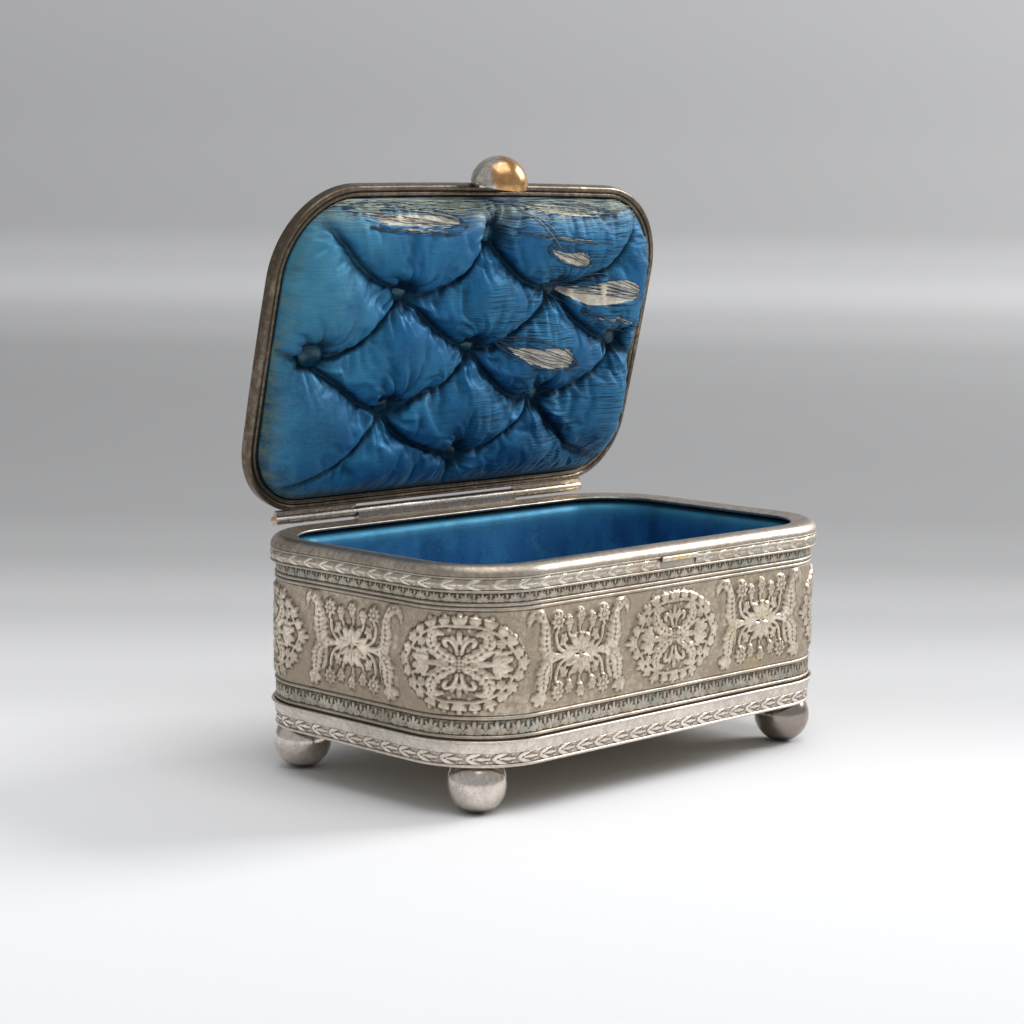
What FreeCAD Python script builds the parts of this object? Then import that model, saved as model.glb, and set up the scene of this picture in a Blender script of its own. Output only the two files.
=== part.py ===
import FreeCAD, Part

import math
import os

# A repousse trinket box on four ball feet, with a hinged lid that holds a tufted satin cushion.
# Millimetres, +Z up. The origin is on the table, under the middle of the body.
# +X runs along the long side, the front and its catch are at -Y, and the hinge is at +Y.
# The lid is drawn shut and then turned open by the angle at which it stands at rest.

# Body: its outline, and the sheet it is stamped from
body_length = 140.0
body_width = 87.0
corner_radius = 21.5
sheet = 0.8

# Ball feet, with the studs, collars and nuts that hold them under the floor
ball_radius = 7.5
ball_inset_x = 11.2
ball_inset_y = 10.8
ball_worn_depth = 0.1
ball_seat_radius = 2.9
collar_radius = 3.4
collar_thickness = 0.6
stud_radius = 1.0
stud_depth_in_ball = 8.0
nut_width = 4.6
nut_height = 1.6
fit_clearance = 0.05

# Floor plate and the flared gallery round it
floor_thickness = 1.0
floor_edge_offset = -0.5
gallery_drop = 2.4
gallery_sheet = 0.7
gallery_height = 6.8
gallery_foot_offset = -0.1
gallery_lip_proud = 0.45
gallery_lip_height = 0.8
gallery_waist_offset = 0.25
gallery_head_offset = 0.9
flange_width = 2.0
flange_thickness = 0.7

# Body shell: its set-in foot, and the beads that bound the frieze
wall_height = 44.3
plinth_inset = 1.0
plinth_height = 1.1
plinth_slope_height = 1.0
bead_proud = 0.5
bead_height = 1.0
moulding_rise = 4.1
lower_bead_rise = 8.8
upper_bead_drop = 9.0
upper_bead_pitch = 1.1

# Frieze: two motifs that take turns round the wall, and the main forms raised in each
frieze_repeats = 6
relief_proud = 0.45
relief_slope = 0.4
oval_length = 32.0
oval_height = 22.0
oval_band_width = 3.4
heart_radius = 2.3
scroll_reach = 5.3
scroll_rise = 4.8
scroll_length = 6.6
scroll_width = 4.2
side_leaf_reach = 10.0
side_leaf_length = 5.4
side_leaf_width = 3.0
cup_rise = 2.7
cup_length = 6.4
cup_width = 4.0
leaf_reach = 13.4
leaf_rise = 5.5
leaf_length = 10.6
leaf_width = 4.2
large_flower_reach = 8.1
large_flower_rise = 8.8
large_flower_radius = 2.2
small_flower_reach = 4.1
small_flower_rise = 8.0
small_flower_radius = 1.4
end_flower_rise = 9.4
end_flower_radius = 1.5

# Leaf band under the rim, and the rounded ledge on top of it
rim_offset = 1.6
rim_band_height = 4.0
rim_lip_height = 0.7
rim_hollow = 0.35
ledge_lap = 0.9
ledge_rise = 2.7
ledge_crest_offset = -1.0
ledge_shoulder_offset = 0.85
ledge_shoulder_rise = 1.75
ledge_inner_offset = -5.5
ledge_inner_drop = 1.0
ledge_nose = 0.4

# Catch bar on the front of the rim
catch_length = 13.4
catch_height = 1.4
catch_proud = 0.8
catch_round = 0.5
catch_below_ledge = 0.1

# Hinge: barrel on the crest of the ledge, split in three, and its riveted pin
hinge_end_inset = 12.0
middle_knuckle_length = 60.0
knuckle_radius = 1.45
knuckle_gap = 0.15
hinge_crest_gap = 0.15
hinge_axis_offset = 1.7
pin_radius = 0.65
pin_head_radius = 1.1
pin_head_height = 0.6
knuckle_seat_width = 2.0
leaf_thickness = 1.0

# Lid: outline, frame moulding and domed shell
lid_open_angle = 77.0
lid_shut_gap = 0.15
lid_front_overlap = 0.2
lid_back_gap = 2.5
lid_front_radius = 25.0
lid_back_radius = 19.5
lid_bow = 1.0
frame_width = 3.2
frame_thickness = 3.0
frame_bead_width = 1.8
frame_bead_depth = 0.9
frame_groove_depth = 0.55
frame_inner_bead_drop = 0.2
shell_sheet = 0.8
shell_edge_offset = -0.9
shell_edge_height = 0.7
shell_cove_offset = -4.5
shell_cove_height = 1.5
shell_shoulder_offset = -11.5
shell_shoulder_height = 4.2
shell_panel_offset = -15.0
shell_panel_height = 5.2
panel_boss_length = 66.0
panel_boss_width = 34.0
panel_boss_height = 1.4

# Knob: a hollow half ball on a back plate at the lid's front edge
knob_radius = 7.75
knob_wall = 0.6
knob_below_axis = 3.8
knob_catch_gap = 0.1
knob_plate_gap = 0.3

# Lid cushion: board, wadding, tufted satin pad, covered buttons and their ties
board_thickness = 1.2
soft_gap = 0.1
pad_recess = 0.3
pad_rim_thickness = 1.45
pad_height = 7.5
pad_ledge_gap = 0.7
pad_draw_in = 0.5
pad_bulge_share = 0.26
pad_turn_share = 0.5
pad_roll_share = 0.87
pad_roll_width = 4.0
pad_brow_width = 8.5
pad_border_width = 13.0
wadding_thickness = 1.6
wadding_border = 4.0
tuft_edge_x = 14.6
tuft_edge_y = 13.0
tuft_floor_cover = 0.8
tuft_mouth_radius = 10.5
tuft_round_radius = 6.0
button_radius = 3.9
button_height = 2.2
pleat_depth = 1.0
pleat_radius = 5.0
tie_radius = 0.5
knot_radius = 1.4
knot_height = 0.6

# Lining of the box: card and padded satin, on the walls and on the floor
card_thickness = 1.1
lining_top_gap = 0.4
wall_pad_thickness = 3.3
wall_pad_edge = 2.7
floor_card_thickness = 1.6
floor_card_gap = 0.1
floor_pad_thickness = 4.0
floor_pad_edge = 1.2
floor_pad_border = 9.0
wall_pad_floor_gap = 0.3
nut_hole_gap = 0.3

# How far a cutting body runs past what it cuts
overrun = 2.0

# Turns, in degrees
quarter_turn = 90.0
half_turn = 180.0
full_turn = 360.0
hex_turn = 60.0
pad_edge_turn = 45.0
scroll_turn = 30.0
leaf_turn = 82.0

# Heights
ball_centre_z = ball_radius - ball_worn_depth
ball_seat_z = ball_centre_z + math.sqrt(ball_radius ** 2 - ball_seat_radius ** 2)
floor_under_z = ball_seat_z + collar_thickness
floor_top_z = floor_under_z + floor_thickness
wall_top_z = floor_top_z + wall_height
band_top_z = wall_top_z - ledge_lap
crest_z = band_top_z + ledge_rise
ledge_inner_z = crest_z - ledge_inner_drop

# Plan
half_length = body_length / 2
half_width = body_width / 2
foot_x = half_length - ball_inset_x
foot_y = half_width - ball_inset_y
rim_front_y = -half_width - rim_offset
hinge_y = half_width + hinge_axis_offset
hinge_z = crest_z + hinge_crest_gap + knuckle_radius
hinge_half = half_length - hinge_end_inset
nut_corner_radius = nut_width / 2 / math.cos(math.radians(hex_turn / 2))

# Lid heights, shut
frame_under_z = crest_z + lid_shut_gap
frame_top_z = frame_under_z + frame_thickness
board_top_z = frame_top_z
board_under_z = board_top_z - board_thickness
pad_rim_z = frame_under_z + pad_recess
pad_base_z = board_under_z
pad_top_z = pad_base_z - pad_height
wadding_under_z = pad_base_z - wadding_thickness
tuft_floor_z = wadding_under_z - tuft_floor_cover
lid_front_y = rim_front_y - lid_front_overlap
lid_back_y = hinge_y - lid_back_gap
knob_z = hinge_z - knob_below_axis
knob_base_y = rim_front_y - catch_proud - knob_catch_gap


def vec(x, y, z):
    return FreeCAD.Vector(x, y, z)


def line_edge(start, end):
    return Part.LineSegment(start, end).toShape()


def arc_edge(start, middle, end):
    return Part.Arc(start, middle, end).toShape()


def side_centre(half_x, front_y, back_y, bow):
    """Centre and radius of the arc that a bowed right-hand side follows."""
    half = (back_y - front_y) / 2
    radius = (half ** 2 + bow ** 2) / (2 * bow)
    return half_x - radius, (front_y + back_y) / 2, radius


def circle_crossing(x_a, y_a, r_a, x_b, y_b, r_b):
    """The crossing of two circles that lies furthest along +X and -Y."""
    span = math.hypot(x_b - x_a, y_b - y_a)
    along = (span ** 2 + r_a ** 2 - r_b ** 2) / (2 * span)
    across = math.sqrt(r_a ** 2 - along ** 2)
    ux = (x_b - x_a) / span
    uy = (y_b - y_a) / span
    first = (x_a + along * ux - across * uy, y_a + along * uy + across * ux)
    second = (x_a + along * ux + across * uy, y_a + along * uy - across * ux)
    return max(first, second, key=lambda point: point[0] - point[1])


def straight_outline(half_x, half_y, radius):
    """A rounded rectangle, anticlockwise: a list of straight runs and corner arcs."""
    x = half_x - radius
    y = half_y - radius
    corners = ((x, -y, -quarter_turn), (x, y, 0), (-x, y, quarter_turn), (-x, -y, half_turn))
    runs = []
    for place, (cx, cy, start) in enumerate(corners):
        end = start + quarter_turn
        runs.append(("arc", cx, cy, radius, start, end))
        nx, ny, _ = corners[(place + 1) % len(corners)]
        turn = math.radians(end)
        runs.append(("line", cx + radius * math.cos(turn), cy + radius * math.sin(turn),
                     nx + radius * math.cos(turn), ny + radius * math.sin(turn), end))
    return runs


def bowed_outline(half_x, front_y, back_y, front_radius, back_radius, bow):
    """A rounded rectangle with bowed sides and front, and a straight back for the hinge."""
    side_x, side_y, side_r = side_centre(half_x, front_y, back_y, bow)
    front_r = (half_x ** 2 + bow ** 2) / (2 * bow)
    front_cy = front_y + front_r
    fx, fy = circle_crossing(0, front_cy, front_r - front_radius,
                             side_x, side_y, side_r - front_radius)
    by = back_y - back_radius
    bx = side_x + math.sqrt((side_r - back_radius) ** 2 - (by - side_y) ** 2)
    front_turn = math.degrees(math.atan2(fy - front_cy, fx))
    low_turn = math.degrees(math.atan2(fy - side_y, fx - side_x))
    high_turn = math.degrees(math.atan2(by - side_y, bx - side_x))
    return [
        ("arc", 0, front_cy, front_r, -half_turn - front_turn, front_turn),
        ("arc", fx, fy, front_radius, front_turn, low_turn),
        ("arc", side_x, side_y, side_r, low_turn, high_turn),
        ("arc", bx, by, back_radius, high_turn, quarter_turn),
        ("line", bx, back_y, -bx, back_y, quarter_turn),
        ("arc", -bx, by, back_radius, quarter_turn, half_turn - high_turn),
        ("arc", -side_x, side_y, side_r, half_turn - high_turn, half_turn - low_turn),
        ("arc", -fx, fy, front_radius, half_turn - low_turn, half_turn - front_turn),
    ]


def arc_point(run, turn, offset, z):
    _, cx, cy, radius, _, _ = run
    angle = math.radians(turn)
    return vec(cx + (radius + offset) * math.cos(angle), cy + (radius + offset) * math.sin(angle), z)


def outline_face(outline, offset, z):
    """The flat face inside an outline, grown by an offset."""
    edges = []
    for run in outline:
        if run[0] == "arc":
            start = arc_point(run, run[4], offset, z)
            middle = arc_point(run, (run[4] + run[5]) / 2, offset, z)
            end = arc_point(run, run[5], offset, z)
            edges.append(arc_edge(start, middle, end))
        else:
            nx = offset * math.cos(math.radians(run[5]))
            ny = offset * math.sin(math.radians(run[5]))
            edges.append(line_edge(vec(run[1] + nx, run[2] + ny, z), vec(run[3] + nx, run[4] + ny, z)))
    return Part.Face(Part.Wire(Part.__sortEdges__(edges)))


def slab(outline, offset, low, high):
    return outline_face(outline, offset, low).extrude(vec(0, 0, high - low))


def section_face(section, base, normal):
    """A closed section in (offset, height) set up across an outline.

    Each entry is (offset, z) for a straight edge to that point, or
    (offset, z, offset, z) for an arc through the first point to the second."""
    def place(offset, z):
        return vec(base.x + offset * normal.x, base.y + offset * normal.y, z)

    here = place(*section[0])
    first = here
    edges = []
    for entry in section[1:]:
        end = place(*entry[-2:])
        if len(entry) == 2:
            edges.append(line_edge(here, end))
        else:
            edges.append(arc_edge(here, place(*entry[:2]), end))
        here = end
    edges.append(line_edge(here, first))
    return Part.Face(Part.Wire(edges))


def sweep(section, outline):
    """Carry a section round an outline: drawn along its runs and turned about its corners."""
    pieces = []
    for run in outline:
        if run[0] == "arc":
            angle = math.radians(run[4])
            normal = vec(math.cos(angle), math.sin(angle), 0)
            face = section_face(section, arc_point(run, run[4], 0, 0), normal)
            pieces.append(face.revolve(vec(run[1], run[2], 0), vec(0, 0, 1), run[5] - run[4]))
        else:
            angle = math.radians(run[5])
            normal = vec(math.cos(angle), math.sin(angle), 0)
            face = section_face(section, vec(run[1], run[2], 0), normal)
            pieces.append(face.extrude(vec(run[3] - run[1], run[4] - run[2], 0)))
    return pieces[0].fuse(pieces[1:]).removeSplitter()


def rod(x, y, low, high, radius):
    return Part.makeCylinder(radius, high - low, vec(x, y, low))


def rod_along_x(x_low, x_high, y, z, radius):
    return Part.makeCylinder(radius, x_high - x_low, vec(x_low, y, z), vec(1, 0, 0))


def block(x_low, x_high, y_low, y_high, z_low, z_high):
    return Part.makeBox(x_high - x_low, y_high - y_low, z_high - z_low, vec(x_low, y_low, z_low))


def joined(shapes):
    return shapes[0].fuse(shapes[1:]).removeSplitter()


def turned(points, x, y):
    """A body turned about the upright axis through (x, y).

    The section is a list of (radius, z), with arcs given as in section_face."""
    face = section_face(points, vec(x, y, 0), vec(1, 0, 0))
    return face.revolve(vec(x, y, 0), vec(0, 0, 1), full_turn)


body_outline = straight_outline(half_length, half_width, corner_radius)
lid_outline = bowed_outline(half_length + rim_offset, lid_front_y, lid_back_y,
                            lid_front_radius, lid_back_radius, lid_bow)
foot_places = {
    "front_left": (-foot_x, -foot_y),
    "front_right": (foot_x, -foot_y),
    "back_left": (-foot_x, foot_y),
    "back_right": (foot_x, foot_y),
}


def ball_foot(x, y):
    """A cast ball, worn flat where it stands, with a flat seat and a bore for its stud."""
    ball = Part.makeSphere(ball_radius, vec(x, y, ball_centre_z))
    keep = rod(x, y, 0, ball_seat_z, ball_radius + overrun)
    bore = rod(x, y, ball_seat_z - stud_depth_in_ball, ball_seat_z + overrun,
               stud_radius + fit_clearance)
    return ball.common(keep).cut(bore)


def foot_collar(x, y):
    ring = rod(x, y, ball_seat_z, floor_under_z, collar_radius)
    return ring.cut(rod(x, y, ball_seat_z - overrun, floor_under_z + overrun,
                        stud_radius + fit_clearance))


def foot_stud(x, y):
    return rod(x, y, ball_seat_z - stud_depth_in_ball, floor_top_z + nut_height, stud_radius)


def foot_nut(x, y):
    corner = nut_corner_radius
    corners = []
    for side in range(7):
        angle = math.radians(hex_turn * side)
        corners.append(vec(x + corner * math.cos(angle), y + corner * math.sin(angle), floor_top_z))
    nut = Part.Face(Part.makePolygon(corners)).extrude(vec(0, 0, nut_height))
    return nut.cut(rod(x, y, floor_top_z - overrun, floor_top_z + nut_height + overrun,
                       stud_radius + fit_clearance))


def at_every_foot(maker):
    return Part.makeCompound([maker(x, y) for x, y in foot_places.values()])


def floor_plate():
    plate = slab(body_outline, floor_edge_offset, floor_under_z, floor_top_z)
    for x, y in foot_places.values():
        plate = plate.cut(rod(x, y, floor_under_z - overrun, floor_top_z + overrun,
                              stud_radius + fit_clearance))
    return plate


def base_gallery():
    """A thin flared skirt with a rolled lip above and below, and a flange under the floor."""
    low = floor_under_z - gallery_drop
    high = low + gallery_height
    lip = gallery_lip_height
    foot = gallery_foot_offset
    head = gallery_head_offset
    waist_z = (low + high) / 2
    inner_head = head - gallery_sheet
    section = [
        (foot, low),
        (foot + gallery_lip_proud, low + lip / 2, foot, low + lip),
        (gallery_waist_offset, waist_z, head, high - lip),
        (head + gallery_lip_proud, high - lip / 2, head, high),
        (inner_head + gallery_sheet / 2, high),
        (inner_head, high - lip),
        (floor_edge_offset, floor_top_z),
        (floor_edge_offset, floor_under_z),
        (floor_edge_offset - flange_width, floor_under_z),
        (floor_edge_offset - flange_width, floor_under_z - flange_thickness),
        (foot - gallery_sheet, floor_under_z - flange_thickness),
        (foot - gallery_sheet, low),
    ]
    return sweep(section, body_outline)


def run_length(run):
    if run[0] == "arc":
        return run[3] * math.radians(run[5] - run[4])
    return math.hypot(run[3] - run[1], run[4] - run[2])


def on_wall(distance):
    """The point, the outward turn and the radius of the wall, measured round it from its front."""
    total = sum(run_length(run) for run in body_outline)
    left = (distance - half_length + corner_radius) % total
    for run in body_outline:
        length = run_length(run)
        if left <= length:
            break
        left -= length
    share = left / length
    if run[0] == "arc":
        turn = run[4] + share * (run[5] - run[4])
        return arc_point(run, turn, 0, 0), turn, run[3]
    place = vec(run[1] + share * (run[3] - run[1]), run[2] + share * (run[4] - run[2]), 0)
    return place, run[5], 0


def oval_wire(centre, normal, long_way, half_long, half_short):
    """An oval outline, or a round one where its two sizes are the same."""
    if half_long - half_short < fit_clearance:
        return Part.Wire(Part.Circle(centre, normal, half_short).toShape())
    short_way = normal.cross(long_way)
    oval = Part.Ellipse(centre + long_way * half_long, centre + short_way * half_short, centre)
    return Part.Wire(oval.toShape())


def raised_oval(distance, z, length, width, turn):
    """A plug with sloping sides that crosses the wall's face at a place on the frieze."""
    place, facing, radius = on_wall(distance)
    angle = math.radians(facing)
    normal = vec(math.cos(angle), math.sin(angle), 0)
    tangent = vec(-math.sin(angle), math.cos(angle), 0)
    lean = math.radians(turn)
    long_way = tangent * math.cos(lean) + vec(0, 0, math.sin(lean))
    half_long = length / 2
    if radius and not turn:
        half_long = radius * math.sin(half_long / radius)
    wires = []
    for proud, shrink in ((-sheet / 2, -relief_slope), (relief_proud + sheet / 2, relief_slope)):
        centre = vec(place.x, place.y, z) + normal * proud
        wires.append(oval_wire(centre, normal, long_way, half_long - shrink, width / 2 - shrink))
    if radius:
        wires = [oval_wire(vec(place.x, place.y, z) - normal * radius / 2, normal, long_way,
                           half_long + relief_slope, width / 2 + relief_slope),
                 wires[1]]
    return Part.makeLoft(wires, True, True)


def medallion_forms(distance, z):
    """An oval frame, a round heart, a leaf on each side of it and four scrolls round it."""
    outer = raised_oval(distance, z, oval_length, oval_height, 0)
    inner = raised_oval(distance, z, oval_length - 2 * oval_band_width - 2 * relief_slope,
                        oval_height - 2 * oval_band_width - 2 * relief_slope, 0)
    forms = [outer.cut(inner), raised_oval(distance, z, 2 * heart_radius, 2 * heart_radius, 0)]
    for side in (-1, 1):
        forms.append(raised_oval(distance + side * side_leaf_reach, z,
                                 side_leaf_length, side_leaf_width, 0))
        for up in (-1, 1):
            forms.append(raised_oval(distance + side * scroll_reach, z + up * scroll_rise,
                                     scroll_length, scroll_width, side * up * scroll_turn))
    return forms


def spray_forms(distance, z):
    """Leafy cups and flowers above and below the middle, held between four tall leaves."""
    forms = []
    for up in (-1, 1):
        forms.append(raised_oval(distance, z + up * cup_rise, cup_length, cup_width, 0))
        forms.append(raised_oval(distance, z + up * end_flower_rise,
                                 2 * end_flower_radius, 2 * end_flower_radius, 0))
        for side in (-1, 1):
            forms.append(raised_oval(distance + side * large_flower_reach, z + up * large_flower_rise,
                                     2 * large_flower_radius, 2 * large_flower_radius, 0))
            forms.append(raised_oval(distance + side * small_flower_reach, z + up * small_flower_rise,
                                     2 * small_flower_radius, 2 * small_flower_radius, 0))
            forms.append(raised_oval(distance + side * leaf_reach, z + up * leaf_rise,
                                     leaf_length, leaf_width, side * up * leaf_turn))
    return forms


def frieze_relief():
    """The main forms of the frieze: what the plugs and a skin just proud of the wall share."""
    low = floor_top_z + lower_bead_rise + bead_height / 2
    high = wall_top_z - upper_bead_drop - bead_height / 2
    skin = slab(body_outline, relief_proud, low, high).cut(
        slab(body_outline, -sheet / 2, low - overrun, high + overrun))
    pitch = sum(run_length(run) for run in body_outline) / frieze_repeats
    middle = (low + high) / 2
    plugs = []
    for repeat in range(frieze_repeats):
        plugs += medallion_forms(repeat * pitch, middle)
        plugs += spray_forms((repeat + 1 / 2) * pitch, middle)
    return [skin.common(plug) for plug in plugs]


def body_shell():
    """The stamped wall: a foot set in, a moulding, and between its beads the frieze's relief."""
    step_z = floor_top_z + plinth_height
    slope_z = step_z + plinth_slope_height
    section = [(-plinth_inset, floor_top_z), (-plinth_inset, step_z), (0, slope_z)]
    upper_z = wall_top_z - upper_bead_drop
    for middle in (floor_top_z + moulding_rise, floor_top_z + lower_bead_rise,
                   upper_z, upper_z + upper_bead_pitch):
        section.append((0, middle - bead_height / 2))
        section.append((bead_proud, middle, 0, middle + bead_height / 2))
    section.append((0, wall_top_z))
    section.append((-sheet, wall_top_z))
    section.append((-sheet, slope_z + sheet / 2))
    section.append((-plinth_inset - sheet, step_z + sheet / 2))
    section.append((-plinth_inset - sheet, floor_top_z))
    return sweep(section, body_outline).fuse(frieze_relief()).removeSplitter()


def rim_band():
    """The leaf band: a hollowed strip between two lips, broken by a plain recess at the catch."""
    low = band_top_z - rim_band_height
    lip = rim_lip_height
    face = rim_offset - rim_hollow
    section = [
        (0, low),
        (face, low),
        (rim_offset, low + lip / 2, face, low + lip),
        (rim_offset, (low + band_top_z) / 2, face, band_top_z - lip),
        (rim_offset, band_top_z - lip / 2, face, band_top_z),
        (0, band_top_z),
    ]
    band = sweep(section, body_outline)
    half = catch_length / 2
    recess = block(-half, half, rim_front_y - overrun, rim_front_y + rim_hollow,
                   low + lip, band_top_z + overrun)
    return band.cut(recess)


def rim_ledge():
    """The rounded ledge that covers the wall's edge and the lining, and carries the hinge."""
    inner = ledge_inner_offset
    section = [
        (0, band_top_z),
        (rim_offset, band_top_z),
        (ledge_shoulder_offset, band_top_z + ledge_shoulder_rise, ledge_crest_offset, crest_z),
        (inner + ledge_nose, ledge_inner_z + ledge_nose),
        (inner, ledge_inner_z, inner + ledge_nose, ledge_inner_z - ledge_nose),
        (-sheet, wall_top_z + ledge_nose),
        (-sheet, wall_top_z),
        (0, wall_top_z),
    ]
    return sweep(section, body_outline)


def catch_bar():
    """A round-ended bar that the knob's hollow snaps over."""
    half = catch_length / 2
    high = band_top_z - catch_below_ledge
    front = rim_front_y - catch_proud
    bar = block(-half, half, front, rim_front_y + rim_hollow, high - catch_height, high)
    along = [edge for edge in bar.Edges
             if abs(edge.BoundBox.YMin - front) < fit_clearance
             and abs(edge.BoundBox.YMax - front) < fit_clearance]
    return bar.makeFillet(catch_round, along)


def knuckle(x_low, x_high):
    barrel = rod_along_x(x_low, x_high, hinge_y, hinge_z, knuckle_radius)
    return barrel, rod_along_x(x_low - overrun, x_high + overrun, hinge_y, hinge_z,
                               pin_radius + fit_clearance)


def hinge_knuckle_body(ledge):
    """The middle knuckle, soldered down to the shoulder of the ledge by a narrow seat."""
    half = middle_knuckle_length / 2
    barrel, bore = knuckle(-half, half)
    seat = block(-half, half, hinge_y - knuckle_seat_width, hinge_y,
                 wall_top_z, hinge_z)
    return joined([barrel, seat.cut(ledge)]).cut(bore)


def hinge_knuckle_lid(side):
    """An outer knuckle, with a leaf that runs forward to the back edge of the lid's frame."""
    near = middle_knuckle_length / 2 + knuckle_gap
    x_low = min(side * near, side * hinge_half)
    x_high = max(side * near, side * hinge_half)
    barrel, bore = knuckle(x_low, x_high)
    leaf = block(x_low, x_high, lid_back_y, hinge_y,
                 hinge_z - leaf_thickness / 2, hinge_z + leaf_thickness / 2)
    return joined([barrel, leaf]).cut(bore)


def hinge_pin():
    """A plain pin, riveted over into a low dome at each end."""
    half = hinge_half
    pin = rod_along_x(-half, half, hinge_y, hinge_z, pin_radius)
    dome_radius = (pin_head_radius ** 2 + pin_head_height ** 2) / (2 * pin_head_height)
    heads = []
    for side in (-1, 1):
        dome = Part.makeSphere(dome_radius,
                               vec(side * (half + pin_head_height - dome_radius), hinge_y, hinge_z))
        x_low = min(side * half, side * (half + dome_radius))
        heads.append(dome.common(rod_along_x(x_low, x_low + dome_radius, hinge_y, hinge_z,
                                             dome_radius + overrun)))
    return joined([pin] + heads)


def lid_frame():
    """The lid's rolled edge: a stout half round, a groove and a thinner bead inside it."""
    low = frame_under_z
    bead = frame_bead_width
    groove_z = low + frame_groove_depth
    middle = (bead + frame_width) / 2
    section = [
        (0, frame_top_z),
        (0, low + frame_bead_depth),
        (-bead / 2, low, -bead, groove_z),
        (-middle, low + frame_inner_bead_drop, -frame_width, low + frame_bead_depth),
        (-frame_width, frame_top_z),
    ]
    return sweep(section, lid_outline)


def shell_section(drop):
    """The lid shell's skin, or the same line lower down and further in by its thickness."""
    top = frame_top_z
    return (
        (shell_edge_offset - drop, top + shell_edge_height - drop),
        (shell_cove_offset - drop / 2, top + shell_cove_height - drop),
        (shell_shoulder_offset, top + shell_shoulder_height - drop),
        (shell_panel_offset, top + shell_panel_height - drop),
    )


def lid_shell():
    """The domed skin: an edge roll, a cove, a swelling border and a raised panel with a boss."""
    edge, cove, shoulder, panel = shell_section(0)
    _, in_cove, in_shoulder, in_panel = shell_section(shell_sheet)
    rise = (cove[1] + shoulder[1]) / 2
    in_rise = (in_cove[1] + in_shoulder[1]) / 2
    across = (cove[0] + shoulder[0]) / 2
    border = sweep([
        (shell_edge_offset, frame_top_z),
        edge,
        cove,
        (across, rise + shell_sheet / 4) + shoulder,
        panel,
        in_panel,
        in_shoulder,
        (across, in_rise + shell_sheet / 4) + in_cove,
        (in_cove[0], frame_top_z),
    ], lid_outline)
    top_z = panel[1]
    middle = slab(lid_outline, shell_panel_offset, top_z - shell_sheet, top_z)
    return joined([border, middle, panel_boss(top_z)])


def panel_boss(base_z):
    """A low oval boss in the middle of the panel, bounded by a step."""
    y = (lid_front_y + lid_back_y) / 2
    half_x = panel_boss_length / 2
    half_y = panel_boss_width / 2
    step = panel_boss_height
    wires = []
    for inset, z in ((0, base_z), (step, base_z + step / 2), (2 * step + half_y / 2, base_z + step)):
        oval = Part.Ellipse(vec(0, y, z), half_x - inset, half_y - inset).toShape()
        wires.append(Part.Wire(oval))
    return Part.makeLoft(wires, True, True)


def lid_knob():
    """A hollow half ball that hangs in front of the rim and takes the catch bar inside."""
    centre = vec(0, knob_base_y, knob_z)
    ball = Part.makeSphere(knob_radius, centre)
    hollow = Part.makeSphere(knob_radius - knob_wall, centre)
    reach = knob_radius + overrun
    front = block(-reach, reach, knob_base_y - reach, knob_base_y, knob_z - reach, knob_z + reach)
    return ball.cut(hollow).common(front)


def knob_plate():
    """The plate between the lid's edge and the knob, cut straight just above the catch bar."""
    thickness = lid_front_y - knob_base_y
    disc = Part.makeCylinder(knob_radius - knob_wall / 2, thickness,
                             vec(0, lid_front_y, knob_z), vec(0, -1, 0))
    reach = knob_radius + overrun
    low = band_top_z - catch_below_ledge + knob_plate_gap
    upper = block(-reach, reach, knob_base_y - overrun, lid_front_y + overrun, low, knob_z + reach)
    return disc.common(upper)


tuft_centre_y = (lid_front_y + lid_back_y) / 2
tuft_pitch_x = (half_length + rim_offset - tuft_edge_x) / 2
tuft_pitch_y = ((lid_back_y - lid_front_y) / 2 - tuft_edge_y) / 2


def tuft_point(column, row):
    return column * tuft_pitch_x, tuft_centre_y + row * tuft_pitch_y


tuft_cells = [(0, -2), (0, 0), (0, 2), (-1, -1), (-1, 1), (1, -1), (1, 1), (-2, 0), (2, 0)]


def pad_outline():
    """The line where the cushion's crown begins, clear of the ledge when the lid is shut."""
    inset = ledge_inner_offset - pad_ledge_gap
    return straight_outline(half_length + inset, half_width + inset, corner_radius + inset)


def tuft_dimple(x, y):
    """What a button pulls in: a flat floor and a mouth that rounds over to the crown."""
    turn_z = pad_top_z + tuft_round_radius
    floor_sine = (turn_z - tuft_floor_z) / tuft_round_radius
    floor_radius = tuft_mouth_radius - tuft_round_radius * math.sqrt(1 - floor_sine ** 2)
    mid_turn = (math.asin(floor_sine) + math.pi / 2) / 2
    between = (tuft_mouth_radius - tuft_round_radius * math.cos(mid_turn),
               turn_z - tuft_round_radius * math.sin(mid_turn))
    return turned([
        (0, tuft_floor_z),
        (floor_radius, tuft_floor_z),
        between + (tuft_mouth_radius, pad_top_z),
        (tuft_mouth_radius, pad_top_z - overrun),
        (0, pad_top_z - overrun),
    ], x, y)


def pleat(start, end):
    """A shallow round groove between two tufts, or from a tuft to the edge."""
    z = pad_top_z + pleat_depth - pleat_radius
    along = vec(end[0] - start[0], end[1] - start[1], 0)
    return Part.makeCylinder(pleat_radius, along.Length, vec(start[0], start[1], z), along)


def pleat_lines():
    """Each tuft joins its four neighbours on the diagonals, and the outer ones the edge."""
    lines = []
    for column, row in tuft_cells:
        for row_step in (-1, 1):
            other = (column + 1, row + row_step)
            if other in tuft_cells:
                lines.append((tuft_point(column, row), tuft_point(*other)))
    for side in (-1, 1):
        for row_side in (-1, 1):
            lines.append((tuft_point(side, row_side), tuft_point(2 * side, 2 * row_side)))
        lines.append((tuft_point(2 * side, 0), tuft_point(3 * side, 0)))
        lines.append((tuft_point(0, 2 * side), tuft_point(0, 4 * side)))
    return lines


def tie_hole(x, y):
    return rod(x, y, tuft_floor_z - overrun, board_top_z + overrun, tie_radius + fit_clearance)


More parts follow.
